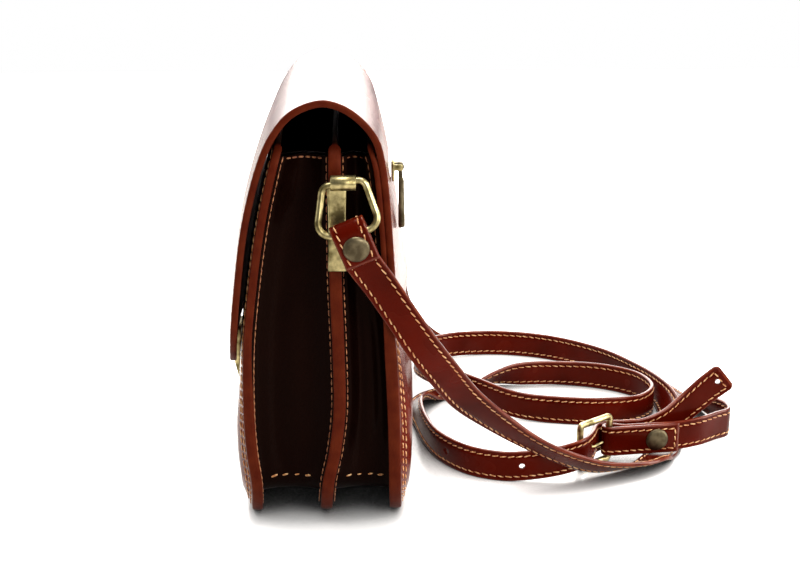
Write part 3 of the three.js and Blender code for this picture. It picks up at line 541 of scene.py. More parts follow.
def smoothstep(value, low, high):
    """0 below low, 1 above high, and 3t^2 - 2t^3 between."""
    t = np.clip((value - low) / (high - low), 0, 1)
    return t * t * (3 - 2 * t)


print("a quarter of the way up a smooth step", smoothstep(0.25, 0.0, 1.0))

# %% [markdown]
# ## The bag's section
# All three panels and both gussets hang on one upright section, a table of heights with the place of each
# panel and how far the outer ones swell at mid width. A cubic through the table gives a smooth face.

# %% Section of the bag
HALF = 100.0
PANEL_HEIGHT, FLAP_TOP, GUSSET_TOP = 206.0, 228.0, 200.0
BASE_CORNER, TOP_CORNER, GUSSET_INSET = 28.0, 12.0, 12.0
FRONT_LEATHER, DIVIDER_LEATHER, BACK_LEATHER = 3.0, 2.4, 2.4
GUSSET_LEATHER, FLAP_LEATHER = 2.2, 3.0
GAP, FLANGE_GAP, LAYER_GAP = 0.3, 0.5, 0.5
SECTION = {
    "z": np.array([0, 24, 42, 66, 100, 132, 164, 194, 206.0]),
    "front": np.array([-38, -38.6, -40.7, -41.8, -40.9, -37.4, -32.4, -25.6, -22]),
    "divider": np.array([0, 1.7, 5.4, 8.1, 7.9, 7, 6.9, 7.2, 7.3]),
    "back": np.array([39.5, 40, 39.8, 39.2, 37.5, 34, 32, 29.2, 25.5]),
    "front_swell": np.array([6, 8.5, 7.5, 5.8, 5, 4.4, 3.4, 2, 1.0]),
    "back_swell": np.array([4, 8, 9.5, 10.2, 9.5, 7.5, 5, 2.2, 1.2]),
}


def section(column, z):
    """Cubic through a column of the table: end slopes are the mean slope of the two rows around."""
    zs, values = SECTION["z"], SECTION[column]
    z = np.clip(z, zs[0], zs[-1])
    before = np.maximum(np.arange(len(zs)) - 1, 0)
    after = np.minimum(np.arange(len(zs)) + 1, len(zs) - 1)
    slope = (values[after] - values[before]) / (zs[after] - zs[before])
    i = np.clip(np.searchsorted(zs, z) - 1, 0, len(zs) - 2)
    span = zs[i + 1] - zs[i]
    t = (z - zs[i]) / span
    return ((2 * t ** 3 - 3 * t ** 2 + 1) * values[i] + (t ** 3 - 2 * t ** 2 + t) * span * slope[i]
            + (3 * t ** 2 - 2 * t ** 3) * values[i + 1] + (t ** 3 - t ** 2) * span * slope[i + 1])


print("divider at half height", round(float(section("divider", PANEL_HEIGHT / 2)), 2), "mm from the middle")


# %% Faces of the panels
def swell_share(x):
    """1 at mid width, falling as a parabola to 0 at both ends."""
    return np.maximum(0, 1 - (x / HALF) ** 2)


def front_outer(x, z):
    """Front face's y: the table's, less the swell."""
    return section("front", z) - section("front_swell", z) * swell_share(x)


def front_inner(x, z):
    """The front panel's inner face, one leather further back."""
    return front_outer(x, z) + FRONT_LEATHER


def divider_front(x, z):
    """Half the divider's leather in front of its middle."""
    return section("divider", z) - DIVIDER_LEATHER / 2


def divider_back(x, z):
    """Half the divider's leather behind its middle."""
    return section("divider", z) + DIVIDER_LEATHER / 2


def back_outer(x, z):
    """Back face's y: the table's, plus the swell."""
    return section("back", z) + section("back_swell", z) * swell_share(x)


def back_inner(x, z):
    """The back panel's inner face, one leather further forward."""
    return back_outer(x, z) - BACK_LEATHER


print("depth at mid height", round(float(back_outer(0.0, 100.0) - front_outer(0.0, 100.0)), 1), "mm")

# %% [markdown]
# ## A cut leather sheet
# A panel is a flat shape with a rounded, painted edge. Its mesh runs in rings: out from the middle on the
# outer side, round the edge, and back on the inner side. Where a gusset's flange is glued to it, both
# edges are painted as one, so the rim there is as thick as the two together. Where nothing is sewn, along
# the top, the rim and the inner side take the nearly black inside colour: painted shade.

# %% Sheets
EDGE_ROUND_MM, RIM_DEPTH_MM, RIM_STEP_MM = 1.2, 2.0, 0.35
INNER_RINGS, EDGE_STEPS = 26, 13
OUTER_TINGE, INNER_TINGE = 0.15, 0.6


def inset(outline, distance):
    """The outline moved in along its own normals."""
    along = unit(np.roll(outline, -1, 0) - np.roll(outline, 1, 0))
    return outline - distance * np.stack([along[:, 1], -along[:, 0]], -1)


def leather_sheet(name, outline, place, thickness, material, below=0.0, above=0.0, paint=1.0,
                  rings=INNER_RINGS):
    """Sheet over a flat outline that runs anticlockwise. place(a, b, depth) bends it, depth running from 0 on
    the outer side. below and above thicken its rim. The edge's depth follows a half cosine and its
    inset one less the root of a sine, which is a flat band with round corners."""
    n = len(outline)
    ones = np.ones(n)
    low, high, paint = -below * ones, thickness + above * ones, paint * ones
    border = inset(outline, RIM_DEPTH_MM + RIM_STEP_MM)
    middle = border.mean(0)
    shares = np.linspace(0, 1, rings + 1)[1:]
    turn = np.linspace(0, np.pi, EDGE_STEPS)
    rows = [(middle + (border - middle) * s, 0 * ones, 0 * ones, 0 * ones) for s in shares]
    # The rim where paint is 0 (unsewn) and the whole inner side get inside: the painted shade colour.
    rows += [(inset(outline, RIM_DEPTH_MM), low, OUTER_TINGE * paint, 1 - paint)]
    rows += [(inset(outline, EDGE_ROUND_MM * (1 - np.sqrt(np.sin(a)))),
              (low + high) / 2 - (high - low) / 2 * np.cos(a), paint, 1 - paint) for a in turn]
    rows += [(inset(outline, RIM_DEPTH_MM), high, INNER_TINGE * paint, ones)]
    rows += [(middle + (border - middle) * s, thickness * ones, 0 * ones, ones) for s in shares[::-1]]
    flat = np.stack([r[0] for r in rows])
    depth = np.stack([r[1] for r in rows])
    points = place(flat[..., 0], flat[..., 1], depth).reshape(-1, 3)
    hubs = np.stack([place(*middle, 0.0), place(*middle, thickness)])
    count = len(rows)
    faces = np.concatenate([
        strip_faces(count, n, False, True), fan_faces(np.arange(n)[::-1], count * n),
        fan_faces(np.arange(n) + (count - 1) * n, count * n + 1)])
    edge = np.append(np.concatenate([r[2] for r in rows]), [0, 0])
    inside = np.append(np.concatenate([r[3] for r in rows]), [0, 1])
    return make_piece(name, np.concatenate([points, hubs]), faces, material, edge=edge, inside=inside)


print("a sheet has", 2 * INNER_RINGS + EDGE_STEPS + 2, "rings")

# %% Outline and rims of the panels
PANEL_POINTS = 420
TOP_FROM, TOP_TO, SPAN_FROM, SPAN_TO = 202, 205, 91, 95
FRONT_RIM = {"least": 1.3, "gain": 1.4, "high": 110, "low": 60}
DIVIDER_RIM = {"least": 2.0, "gain": 0.0, "high": 110, "low": 60}
BACK_RIM = {"least": 0.6, "gain": 3.4, "high": 150, "low": 90}
PANEL_OUTLINE = rounded_outline([(-HALF, 0), (HALF, 0), (HALF, PANEL_HEIGHT), (-HALF, PANEL_HEIGHT)],
                                [BASE_CORNER, BASE_CORNER, TOP_CORNER, TOP_CORNER], PANEL_POINTS)
panel_x, panel_z = np.abs(PANEL_OUTLINE[:, 0]), PANEL_OUTLINE[:, 1]
sewn = 1 - smoothstep(panel_z, TOP_FROM, TOP_TO) * smoothstep(-panel_x, -SPAN_TO, -SPAN_FROM)


def rim_growth(least, gain, high, low):
    """Extra thickness along the outline: least above the height high, gain more below low, 0 where unsewn."""
    return sewn * (least + gain * smoothstep(-panel_z, -high, -low))


front_rim, divider_rim, back_rim = (rim_growth(**rim) for rim in (FRONT_RIM, DIVIDER_RIM, BACK_RIM))
print("rims up to", [round(float(rim.max()), 2) for rim in (front_rim, divider_rim, back_rim)], "mm thicker")

# %% [markdown]
# The outer panels also stand out near the lower corners, where the section's swell has faded. The extra swell
# starts a little in from the edge, which is sewn and stays where it is.

# %% Panels
FRONT_PUFF, BACK_PUFF = 0.7, 0.6
PUFF_FROM, PUFF_FULL, PUFF_TOP, PUFF_LOW = 1.0, 14.0, 105, 50


def edge_distance(x, z):
    """Distance in from the panel's sides and round lower corners, as a rounded box's distance function."""
    side, foot = np.abs(x) - (HALF - BASE_CORNER), BASE_CORNER - z
    past = np.hypot(np.maximum(side, 0), np.maximum(foot, 0))
    return BASE_CORNER - past - np.minimum(np.maximum(side, foot), 0)


def puff(x, z, swell):
    """Extra swell near the feet, where the full corners stand out almost as far as the middle does."""
    rise = smoothstep(edge_distance(x, z), PUFF_FROM, PUFF_FULL) * smoothstep(-z, -PUFF_TOP, -PUFF_LOW)
    return section(swell, z) * (1 - swell_share(x)) * rise


def front_skin(x, z):
    """Front face with the extra swell."""
    return front_outer(x, z) - FRONT_PUFF * puff(x, z, "front_swell")


def back_skin(x, z):
    """Back face with the extra swell."""
    return back_outer(x, z) + BACK_PUFF * puff(x, z, "back_swell")


def upright(face, sense):
    """Bends a flat sheet onto an upright face, its depth running along +Y or -Y."""
    return lambda x, z, depth: np.stack(np.broadcast_arrays(x, face(x, z) + sense * depth, z), -1)


place_front, place_back = upright(front_skin, 1), upright(back_skin, -1)
front = leather_sheet("front_panel_leather", PANEL_OUTLINE, place_front, FRONT_LEATHER, BODY_LEATHER,
                      above=front_rim, paint=sewn)
middle_wall = leather_sheet("divider_leather", PANEL_OUTLINE, upright(divider_front, 1), DIVIDER_LEATHER,
                            BODY_LEATHER, below=divider_rim, above=divider_rim, paint=sewn)
back = leather_sheet("back_panel_leather", PANEL_OUTLINE, place_back, BACK_LEATHER, BODY_LEATHER,
                     above=back_rim, paint=sewn)
dress(front, "body_leather", "front_panel")
dress(middle_wall, "body_leather", "divider")
dress(back, "body_leather", "back_panel")

# %% [markdown]
# ## Flap
# One long sheet is sewn to the back, goes over the mouth in an arch and hangs down the front. Flat, it is a
# rectangle with two large round corners. A curve through the photograph's side view bends it, and it
# shares the panels' swell so that it lies on them.

# %% Flap
FLAP_TAIL, FLAP_CORNER, TAIL_CORNER, FLAP_BODY = 118.0, 32.0, 3.0, 3.6
FLAP_SAMPLES, FLAP_POINTS, FLAP_RINGS = 1600, 460, 64
FLAP_ARCH = np.array([
    (28.4, 205.9), (24.7, 212.6), (17.2, 220.2), (9.8, 224.6), (1.5, 226.5), (-8.6, 224), (-16.1, 219.2),
    (-24.4, 208.2), (-30.6, 193.4), (-38.4, 163.3), (-42.9, 132.1), (-45.3, 108.2), (-45.9, 85)])
tail_heights = FLAP_TAIL + np.array([0, 16, 32, 48, 64, 76.0])
tail = np.stack([section("back", tail_heights) + GAP + FLAP_LEATHER / 2, tail_heights], -1)
flap_knots = np.concatenate([tail, FLAP_ARCH])
flap_line, _ = curve_through(flap_knots, np.linspace(0, len(flap_knots) - 1, FLAP_SAMPLES), 0.5)
flap_steps = np.concatenate([[0], np.cumsum(np.linalg.norm(np.diff(flap_line, axis=0), axis=1))])
FLAP_LENGTH = flap_steps[-1]
flap_slope = unit(np.gradient(flap_line, flap_steps, axis=0))


def place_flap(x, s, depth):
    """Point of the flap x across and s along: the side view's curve, moved out along its normal by half the
    leather less the depth, plus the swell, which fades to nothing at the top of the arch."""
    y, z = (np.interp(s, flap_steps, flap_line[:, k]) for k in (0, 1))
    ty, tz = (np.interp(s, flap_steps, flap_slope[:, k]) for k in (0, 1))
    out = FLAP_BODY / 2 - depth
    fade = np.clip((FLAP_TOP - z) / (FLAP_TOP - PANEL_HEIGHT), 0, 1)
    swell = np.where(y > 0, section("back_swell", z), -section("front_swell", z)) * fade * swell_share(x)
    return np.stack(np.broadcast_arrays(x, y + tz * out + swell, z - ty * out), -1)


FLAP_OUTLINE = rounded_outline([(-HALF, 0), (HALF, 0), (HALF, FLAP_LENGTH), (-HALF, FLAP_LENGTH)],
                               [TAIL_CORNER, TAIL_CORNER, FLAP_CORNER, FLAP_CORNER], FLAP_POINTS)
flap = leather_sheet("flap_leather", FLAP_OUTLINE, place_flap, FLAP_BODY, BODY_LEATHER, rings=FLAP_RINGS)
print("flap length", round(float(FLAP_LENGTH), 1), "mm")

# %% [markdown]
# The flap's tail has a slot for the zip. A cutter that follows the panel's face is taken away from the sheet
# by a Boolean, and the result is kept as a plain mesh.

# %% Slot for the zip
ZIP = {"z": 186.0, "half": 72.0, "chain": 6.5, "margin": 0.8}
CUT_FROM, CUT_TO = -0.2, 9.0


def punch(piece, cutter):
    """Takes a cutter's shape away from a piece and keeps the cut mesh."""
    cut = piece.modifiers.new("cut", "BOOLEAN")
    cut.object = cutter
    cut.operation = "DIFFERENCE"
    cut.solver = "EXACT"
    graph = bpy.context.evaluated_depsgraph_get()
    mesh = bpy.data.meshes.new_from_object(piece.evaluated_get(graph))
    piece.modifiers.clear()
    piece.data = mesh
    bpy.data.objects.remove(cutter)
    return piece


def zip_strip(half, rise, low, high, columns=40):
    """Bar along the zip over the back panel's face, as rectangles carried across the bag."""
    x = np.linspace(-half, half, columns)[:, None]
    z = ZIP["z"] + rise * np.array([-1, 1, 1, -1])[None, :]
    out = np.array([low, low, high, high])[None, :]
    return np.stack(np.broadcast_arrays(x, back_outer(x, z) + out, z), -1)


slot = zip_strip(ZIP["half"] + ZIP["margin"], ZIP["chain"] / 2 + ZIP["margin"], CUT_FROM, CUT_TO)
slot_cutter = make_piece("slot_cutter", *loft(slot), BODY_LEATHER)
punch(flap, slot_cutter)
dress(flap, "body_leather", "flap")

# %% [markdown]
# ## Gussets
# Each gusset is one soft strip folded into a channel: two flanges sewn to the panels and a web between them
# that folds inwards. It runs from the top at one end, round the base and up to the top at the other. The
# section is drawn once and carried along that path, and the web gets the two soft folds that show in
# its lower half.


# %% Fold line of a gusset
def gusset_path(count):
    """Points x, z and outward normals of the strip's fold line, evenly spaced."""
    side = HALF - GUSSET_INSET
    bend = BASE_CORNER - GUSSET_INSET
    a = np.linspace(0, np.pi / 2, 30)
    corner = np.stack([side - bend + bend * np.cos(a), BASE_CORNER - bend * np.sin(a)], -1)
    line = np.concatenate([[(side, GUSSET_TOP)], corner, corner[::-1] * [-1, 1], [(-side, GUSSET_TOP)]])
    line = evenly(line, count)
    along = unit(np.gradient(line, axis=0))
    return line, np.stack([-along[:, 1], along[:, 0]], -1)


print("fold line from", gusset_path(3)[0][0].tolist(), "round the base to", gusset_path(3)[0][-1].tolist())

# %% Gussets
GUSSETS = {"front": (front_inner, divider_front, 5.0), "back": (divider_back, back_inner, 4.0)}
GUSSET_ROWS = 260
FLANGE_REACHES = np.array([9.2, 7.0, 4.8])
FOLD_RADIUS, SOFT_FOLD, BASE_DIP = 2.6, 1.3, 0.2
FOLDS_RISE, FOLDS_FADE = (18, 60), (90, 175)
WEB_SHARES = np.linspace(0, 1, 25)
FOLD_ANGLES = np.linspace(0, np.pi / 2, 7)


def gusset(name, low_face, high_face, dip, material):
    """Channel section carried along the path. Its middle line is a flange, a quarter round, a web that
    dips by a half sine, a quarter round and a flange, and half the leather goes to each side of it."""
    line, normal = gusset_path(GUSSET_ROWS)
    round_out = FOLD_RADIUS * (1 - np.sin(FOLD_ANGLES))
    round_in = FOLD_RADIUS * (1 - np.cos(FOLD_ANGLES))
    web, flange = 0 * WEB_SHARES, 0 * FLANGE_REACHES
    out = np.concatenate([FLANGE_REACHES, round_out, web, round_out[::-1], FLANGE_REACHES[::-1]])
    clear = np.concatenate([flange, round_in, web + FOLD_RADIUS, round_in[::-1], flange])
    share = np.concatenate([flange, 0 * round_in, WEB_SHARES, 1 + 0 * round_in, 1 + flange])
    upright_share = normal[:, :1] ** 2
    height = line[:, 1:]
    depth = dip * (BASE_DIP + (1 - BASE_DIP) * upright_share)
    folded = smoothstep(height, *FOLDS_RISE) * smoothstep(-height, -FOLDS_FADE[1], -FOLDS_FADE[0])
    folds = SOFT_FOLD * upright_share * folded
    out = out - depth * np.sin(np.pi * share) - folds * np.sin(3 * np.pi * share) * np.sin(np.pi * share)
    margin = FLANGE_GAP + GUSSET_LEATHER / 2 + clear

    def seat(reach):
        """The path's points moved out along its normals."""
        x = line[:, :1] + normal[:, :1] * reach
        z = line[:, 1:] + normal[:, 1:] * reach
        return x, z

    x, z = seat(out)
    y = (low_face(x, z) + margin) * (1 - share) + (high_face(x, z) - margin) * share
    d_out, d_y = np.gradient(out, axis=1), np.gradient(y, axis=1)
    size = np.hypot(d_out, d_y)
    side_out, side_y = -d_y / size, d_out / size
    half = GUSSET_LEATHER / 2
    skins = []
    for sign in (1, -1):
        x, z = seat(out + sign * half * side_out)
        skins.append(np.stack([x, y + sign * half * side_y, z], -1))
    loops = np.concatenate([skins[0], skins[1][:, ::-1]], axis=1)
    points, faces = loft(loops)
    hem = np.zeros(loops.shape[:2])
    hem[[0, -1]] = 1
    hem = np.append(hem.ravel(), [1, 1])
    return make_piece(name, points, faces, material, edge=0 * hem, inside=hem)


for which, (low_face, high_face, dip) in GUSSETS.items():
    dress(gusset(f"gusset_{which}_leather", low_face, high_face, dip, GUSSET_LEATHER_LOOK),
          "gusset_leather", f"gusset_{which}")

# %% [markdown]
# ## Straps
# The strap is two pieces, a long one with holes and a short one with the buckle. Each hangs from a ring by
# a riveted loop, falls to the floor and lies in turns. Its route is a list of points, the height of its
# lower edge and how far it leans, from standing on edge at 0 to lying flat at 90. A ribbon's section is
# carried along the curve through them.

# %% Fittings that the straps hang on
STRAP_WIDTH, STRAP_LEATHER = 18.0, 2.6
BARREL = {"x": 104.4, "y": 11.3, "z": 188.0, "length": 12.7, "outer": 3.9, "bore": 3.25}
RING = {"top": 10.5, "left": 18.3, "right": 14.7, "drop": 25.0, "lean": 10.0, "swing": 13.0}
STRAP_LOOP = {"face": 3.9, "crown": 5.8, "settle": 9.0, "cap": 6.9, "end": 16.5, "tilt": 22.0,
              "slope": 0.13, "shift": -1.0}
BUCKLE_FOLD = {"face": 3.3, "crown": 3.3, "settle": 9.0, "cap": 28.0, "end": 42.0}
BUCKLE = {"x": 17.8, "y": 166.0, "length": 25.0, "low": 1.6, "high": 28.0, "round": 2.2, "turn": 52.0,
          "lift": 4.0}
ENDS = {"near": 1, "far": -1}


def ring_place(p, q, side):
    """Point p across and q up in a ring's own plane: leaned about X, then swung about Y, at its barrel."""
    lean, swing = math.radians(RING["lean"]), math.radians(-side * RING["swing"])
    y, z = p * math.cos(lean) - q * math.sin(lean), p * math.sin(lean) + q * math.cos(lean)
    return np.stack(np.broadcast_arrays(z * math.sin(swing) + side * BARREL["x"], y + BARREL["y"],
                                        z * math.cos(swing) + BARREL["z"]), -1)


def fold_stations(bar, along, face, across, fold):
    """Centres and directions of a folded end: flat in front, half an ellipse over the bar, and a back layer
    that comes forward to meet the front one."""
    rear = fold["face"] - STRAP_LEATHER - LAYER_GAP
    settle, end = fold["settle"], fold["end"]
    a = np.linspace(0, np.pi, 7)
    t = np.concatenate([end * np.array([1, 0.7, 0.35]), -fold["crown"] * np.sin(a),
                        [0.25 * settle, 0.62 * settle, settle, settle + 3, (settle + 3 + end) / 2, end]])
    n = np.concatenate([np.full(3, fold["face"]), fold["face"] * np.cos(a),
                        [-0.93 * fold["face"], (rear - fold["face"]) / 2, rear - 0.1, rear, rear, rear]])
    return bar + t[:, None] * along + n[:, None] * face, np.tile(across, (len(t), 1))


loop_frames = {}
loop_tilt = math.radians(STRAP_LOOP["tilt"])
for end_name, side in ENDS.items():
    bar = ring_place(STRAP_LOOP["shift"], -RING["drop"], side)
    across = np.array([0, math.cos(loop_tilt), math.sin(loop_tilt)])
    fall = np.array([-side * STRAP_LOOP["slope"], math.sin(loop_tilt), -math.cos(loop_tilt)])
    face = unit(np.cross(fall, across)) * side
    along = unit(np.cross(across, face) * side)
    loop_frames[end_name] = (bar, along, face, across)
heel = np.array([BUCKLE["x"], BUCKLE["y"], BUCKLE["lift"] + STRAP_WIDTH / 2])
Z_AXIS = np.array([0.0, 0.0, 1.0])
fold_along = unit(np.array([-0.12, 1.0, 0.0]))
fold_face = np.cross(fold_along, Z_AXIS)
print("loops", {k: np.round(v[0], 1).tolist() for k, v in loop_frames.items()})

# %% [markdown]
# Each row of a route is x, y, the lift of the strap's lower edge and its lean in degrees. The points stand
# closer together where the strap turns or twists more sharply.

# %% Routes of the straps
LONG_ROUTE = np.array([
    (105.5, 30, 125.5, -14), (104.5, 41, 108.5, -22), (101, 51.5, 92, -30), (91.5, 63, 74.5, -36),
    (78, 76.5, 55, -42), (65, 96, 36.2, -49), (60, 114.5, 22.8, -52), (57.5, 131.5, 13.5, -53),
    (49.5, 156, 3, -54), (37, 181.5, 0.6, -66), (28, 191, 1.5, -76), (17, 196.5, 0, -88), (4, 203, 0, -89),
    (-16, 209.5, 0, -78), (-44, 216, 0, -42), (-75, 213.5, 0, -10), (-97, 206, 0, -4), (-133, 186.5, 0, 2),
    (-163, 150, 0, 2), (-172, 108, 0, 2), (-160, 77, 1.5, 2), (-128, 59, 4, 0), (-98, 71, 4.4, -4),
    (-70, 96, 2.6, -4), (-48, 120, 0.6, -2), (-40, 146, 0, 0), (-37, 172, 0, 0), (-42, 196, 0, 0),
    (-60, 208, 0, 2), (-83, 203, 0, 2), (-100, 182, 0, 4), (-107, 156, 0, 12), (-107, 130, 0, 16),
    (-105, 108, 0, 50), (-98, 87, 0, 84), (-85, 67, 0, 86), (-62, 57, 0, 44), (-38, 56.5, 0, 10),
    (-8, 60, 0, 2), (15, 67, 0, 0), (36, 82.5, 0, 0), (45, 101, 0, 0), (45.8, 121, 1.2, 0),
    (43.4, 137, 3, 0), (36.6, 148.6, 4, 0), (26, 154.8, 4, 0), (15.6, 159, 4, 0), (10.6, 165.4, 4, 0),
    (10.4, 177, 4.2, 0), (9.2, 189, 4.8, 0), (6.2, 203, 9.5, 0), (1, 216, 18, 0), (-0.8, 228, 28, 0),
    (-0.6, 235.4, 34, 0), (-0.5, 238.5, 36.5, 0)])
SHORT_ROUTE = np.array([
    (-106, 33.5, 117, -36), (-112, 39.5, 97, -46), (-127, 44, 70, -50), (-148, 47, 43, -56),
    (-171, 57, 21, -64), (-189, 75, 6, -76), (-197, 100, 0, -86), (-191, 130, 0, -89), (-178, 157, 0, -89),
    (-147, 197, 0, -89), (-108, 217, 0, -88), (-82, 226, 0, -80), (-60, 233, 0, -60), (-42, 239, 0.8, -32),
    (-28, 243.5, 2, -8), (-17, 245.5, 2.8, 0), (-8, 243, 3.4, 0), (-2, 235, 3.8, 0), (7, 222.5, 4, 0)])
print("points of the routes", len(LONG_ROUTE), len(SHORT_ROUTE))

# %% Lines of the straps
STRAP_STEP_MM = 2.0


def laid(route):
    """Centres and across directions of a route: the lower edge is lifted, so the centre is higher by half the
    leaning width, and the across direction turns from upright to the left of travel by the lean."""
    x, y, lift, lean = route.T
    lean = np.radians(lean)
    rise = STRAP_WIDTH / 2 * np.cos(lean) + STRAP_LEATHER / 2 * np.abs(np.sin(lean))
    centres = np.stack([x, y, lift + rise], -1)
    padded = np.concatenate([centres[:1], centres, centres[-1:]])
    along = unit(padded[2:] - padded[:-2])
    left = unit(np.cross(Z_AXIS, along))
    upper = np.cross(along, left)
    return centres, upper * np.cos(lean)[:, None] + left * np.sin(lean)[:, None]


def strap_line(stations, step_mm):
    """Dense frames along a strap: centre, along, face and across, kept above the floor."""
    centres = np.concatenate([s[0] for s in stations])
    widths = np.concatenate([s[1] for s in stations])
    gaps = np.linalg.norm(np.diff(centres, axis=0), axis=1)
    pieces = np.maximum(1, np.round(gaps / step_mm)).astype(int)
    at = np.concatenate([i + np.arange(k) / k for i, k in enumerate(pieces)] + [[len(gaps)]])
    centre, slope = curve_through(centres, at, 0.5)
    along = unit(slope)
    face = unit(np.cross(along, curve_through(widths, at, 0.0)[0]))
    across = np.cross(face, along)
    room = STRAP_WIDTH / 2 * np.abs(across[:, 2]) + STRAP_LEATHER / 2 * np.abs(face[:, 2])
    centre[:, 2] = np.maximum(centre[:, 2], room)
    length = np.concatenate([[0], np.cumsum(np.linalg.norm(np.diff(centre, axis=0), axis=1))])
    return {"centre": centre, "along": along, "face": face, "across": across, "length": length}


far_fold = fold_stations(heel, fold_along, fold_face, Z_AXIS, BUCKLE_FOLD)
far_fold = tuple(v[::-1] for v in far_fold)
near_loop, far_loop = (fold_stations(*loop_frames[end_name], STRAP_LOOP) for end_name in ENDS)
long_line = strap_line([near_loop, laid(LONG_ROUTE)], STRAP_STEP_MM)
short_line = strap_line([far_loop, laid(SHORT_ROUTE), far_fold], STRAP_STEP_MM)
print("strap lengths", [round(float(s["length"][-1])) for s in (long_line, short_line)], "mm")

# %% [markdown]
# The ribbon's section is a rectangle with rounded, painted edges. Its faces are slightly domed between the
# two rows of stitching and dip along them, because the thread pulls the leather down. Cut ends are thinned
# to a bevel. The long strap ends in a square tip with rounded corners and has five holes, punched with a
# Boolean.

# %% Section of a strap
STITCH_INSET, STITCH_DIP, DIP_WIDTH, DOME, STRAP_ROUND = 2.9, 0.34, 0.8, 0.1, 1.1


def strap_section():
    """Loop of width and depth: two domed faces joined by half rounds. Returns the loop and what is edge."""
    half, thick = STRAP_WIDTH / 2, STRAP_LEATHER / 2
    w = np.linspace(-1, 1, 25) * (half - STRAP_ROUND)
    sewn = np.exp(-((np.abs(w) - (half - STITCH_INSET)) / DIP_WIDTH) ** 2)
    n = thick - STITCH_DIP * sewn - DOME * (w / half) ** 2
    a = np.linspace(np.pi / 2, -np.pi / 2, 9)[1:-1]
    rim = np.sign(np.sin(a)) * np.abs(np.sin(a)) ** 0.8
    right_edge = np.stack([half - STRAP_ROUND + STRAP_ROUND * np.cos(a) ** 0.7, n[-1] * rim], -1)
    loop = np.concatenate([np.stack([w, n], -1), right_edge, np.stack([w[::-1], -n[::-1]], -1),
                           -right_edge])
    edge = np.concatenate([0 * w, np.ones(len(a)), 0 * w, np.ones(len(a))])
    return loop, edge


print("strap section", np.ptp(strap_section()[0], axis=0).round(2).tolist(), "mm")

# %% Straps
TIP_CORNER, END_BEVEL = 3.4, 1.9


def frames_at(line, distance):
    """Frames of a strap at distances along it."""
    found = {k: np.stack([np.interp(distance, line["length"], line[k][:, i]) for i in range(3)], -1)
             for k in ("centre", "along", "face", "across")}
    return {k: v if k == "centre" else unit(v) for k, v in found.items()}


def make_strap(name, line, tip):
    """Section carried along the frames, thinned to a painted bevel at both cut ends. A tip is cut square with
    round corners: where the corner's angle is a, its arc has come forward by TIP_CORNER sin(a) and taken
    TIP_CORNER (1 - cos(a)) off each half width."""
    loop, edge = strap_section()
    bevel = np.array([0, 0.3, 0.6, 1.0]) * END_BEVEL
    a = np.linspace(0, np.pi / 2, 8)
    to_end = TIP_CORNER * (1 - np.sin(a)) if tip else bevel[::-1]
    last = line["length"][-1]
    middle = line["length"][(line["length"] > bevel[-1] + 0.3) & (line["length"] < last - to_end[0] - 0.5)]
    at = np.concatenate([bevel, middle, last - to_end])
    line = frames_at(line, at)
    width = np.ones(len(at))
    if tip:
        width[-len(a):] -= TIP_CORNER * (1 - np.cos(a)) / (STRAP_WIDTH / 2)
    from_end = np.minimum(at, last - at)
    depth = np.interp(from_end, bevel, [0.15, 0.5, 0.8, 1.0])
    loops = (line["centre"][:, None] + line["across"][:, None] * (loop[:, 0] * width[:, None])[..., None]
             + line["face"][:, None] * (loop[:, 1] * depth[:, None])[..., None])
    points, faces = loft(loops)
    edge = np.append(np.maximum(edge, (from_end < 0.9 * END_BEVEL)[:, None]).ravel(), [1, 1])
    return make_piece(name, points, faces, STRAP_LEATHER_LOOK, edge=edge, inside=0 * edge)


strap_long = make_strap("strap_long_leather", long_line, tip=True)
print("long strap before its holes", len(strap_long.data.polygons), "faces")

# %% Holes of the long strap
HOLES, PINNED_HOLE = 5, 2
HOLE_PITCH, HOLE_RADIUS, PINNED_HOLE_RADIUS = 50.0, 1.7, 3.0
PRONG = {"radius": 0.7, "cross": 17.0}


def rod(centre, direction, radius, length, sides=20):
    """Points and faces of a round bar, as circles carried along a direction."""
    direction = unit(np.asarray(direction, float))
    side = unit(np.cross(direction, [0.31, 0.52, 0.8]))
    a = np.linspace(0, 2 * np.pi, sides, endpoint=False)[:, None]
    circle = radius * (np.cos(a) * side + np.sin(a) * np.cross(direction, side))
    ends = np.array([-0.5, 0.5])[:, None, None] * length * direction
    return loft(np.asarray(centre) + ends + circle[None])


turn = math.radians(-BUCKLE["turn"])
frame_reach = np.array([math.cos(turn), math.sin(turn), 0.0])
frame_side = np.cross(Z_AXIS, frame_reach)
pin_place = heel + PRONG["cross"] * frame_reach
pinned_at = long_line["length"][np.linalg.norm(long_line["centre"] - pin_place, axis=1).argmin()]
hole_numbers = np.arange(HOLES)
hole = frames_at(long_line, pinned_at + HOLE_PITCH * (hole_numbers - PINNED_HOLE))
hole_radius = np.where(hole_numbers == PINNED_HOLE, PINNED_HOLE_RADIUS, HOLE_RADIUS)
cutters = together([rod(hole["centre"][i], hole["face"][i], hole_radius[i], 3 * STRAP_LEATHER)
                    for i in hole_numbers])
punch(strap_long, make_piece("hole_cutter", *cutters, STRAP_LEATHER_LOOK, edge=np.ones(len(cutters[0])),
                             inside=np.zeros(len(cutters[0]))))
dress(strap_long, "strap_leather", "strap_long")
dress(make_strap("strap_short_leather", short_line, tip=False), "strap_leather", "strap_short")

# %% [markdown]
# ## Stitching
# Stitches are what the eye finds first on such a bag: short, plump, slightly slanted lengths of thread that
# dive into the leather at both ends. One small pod is drawn once and placed by arrays along each seam,
# so a whole row is a single mesh.

# %% Stitches
POD_RINGS, POD_SIDES = 5, 6


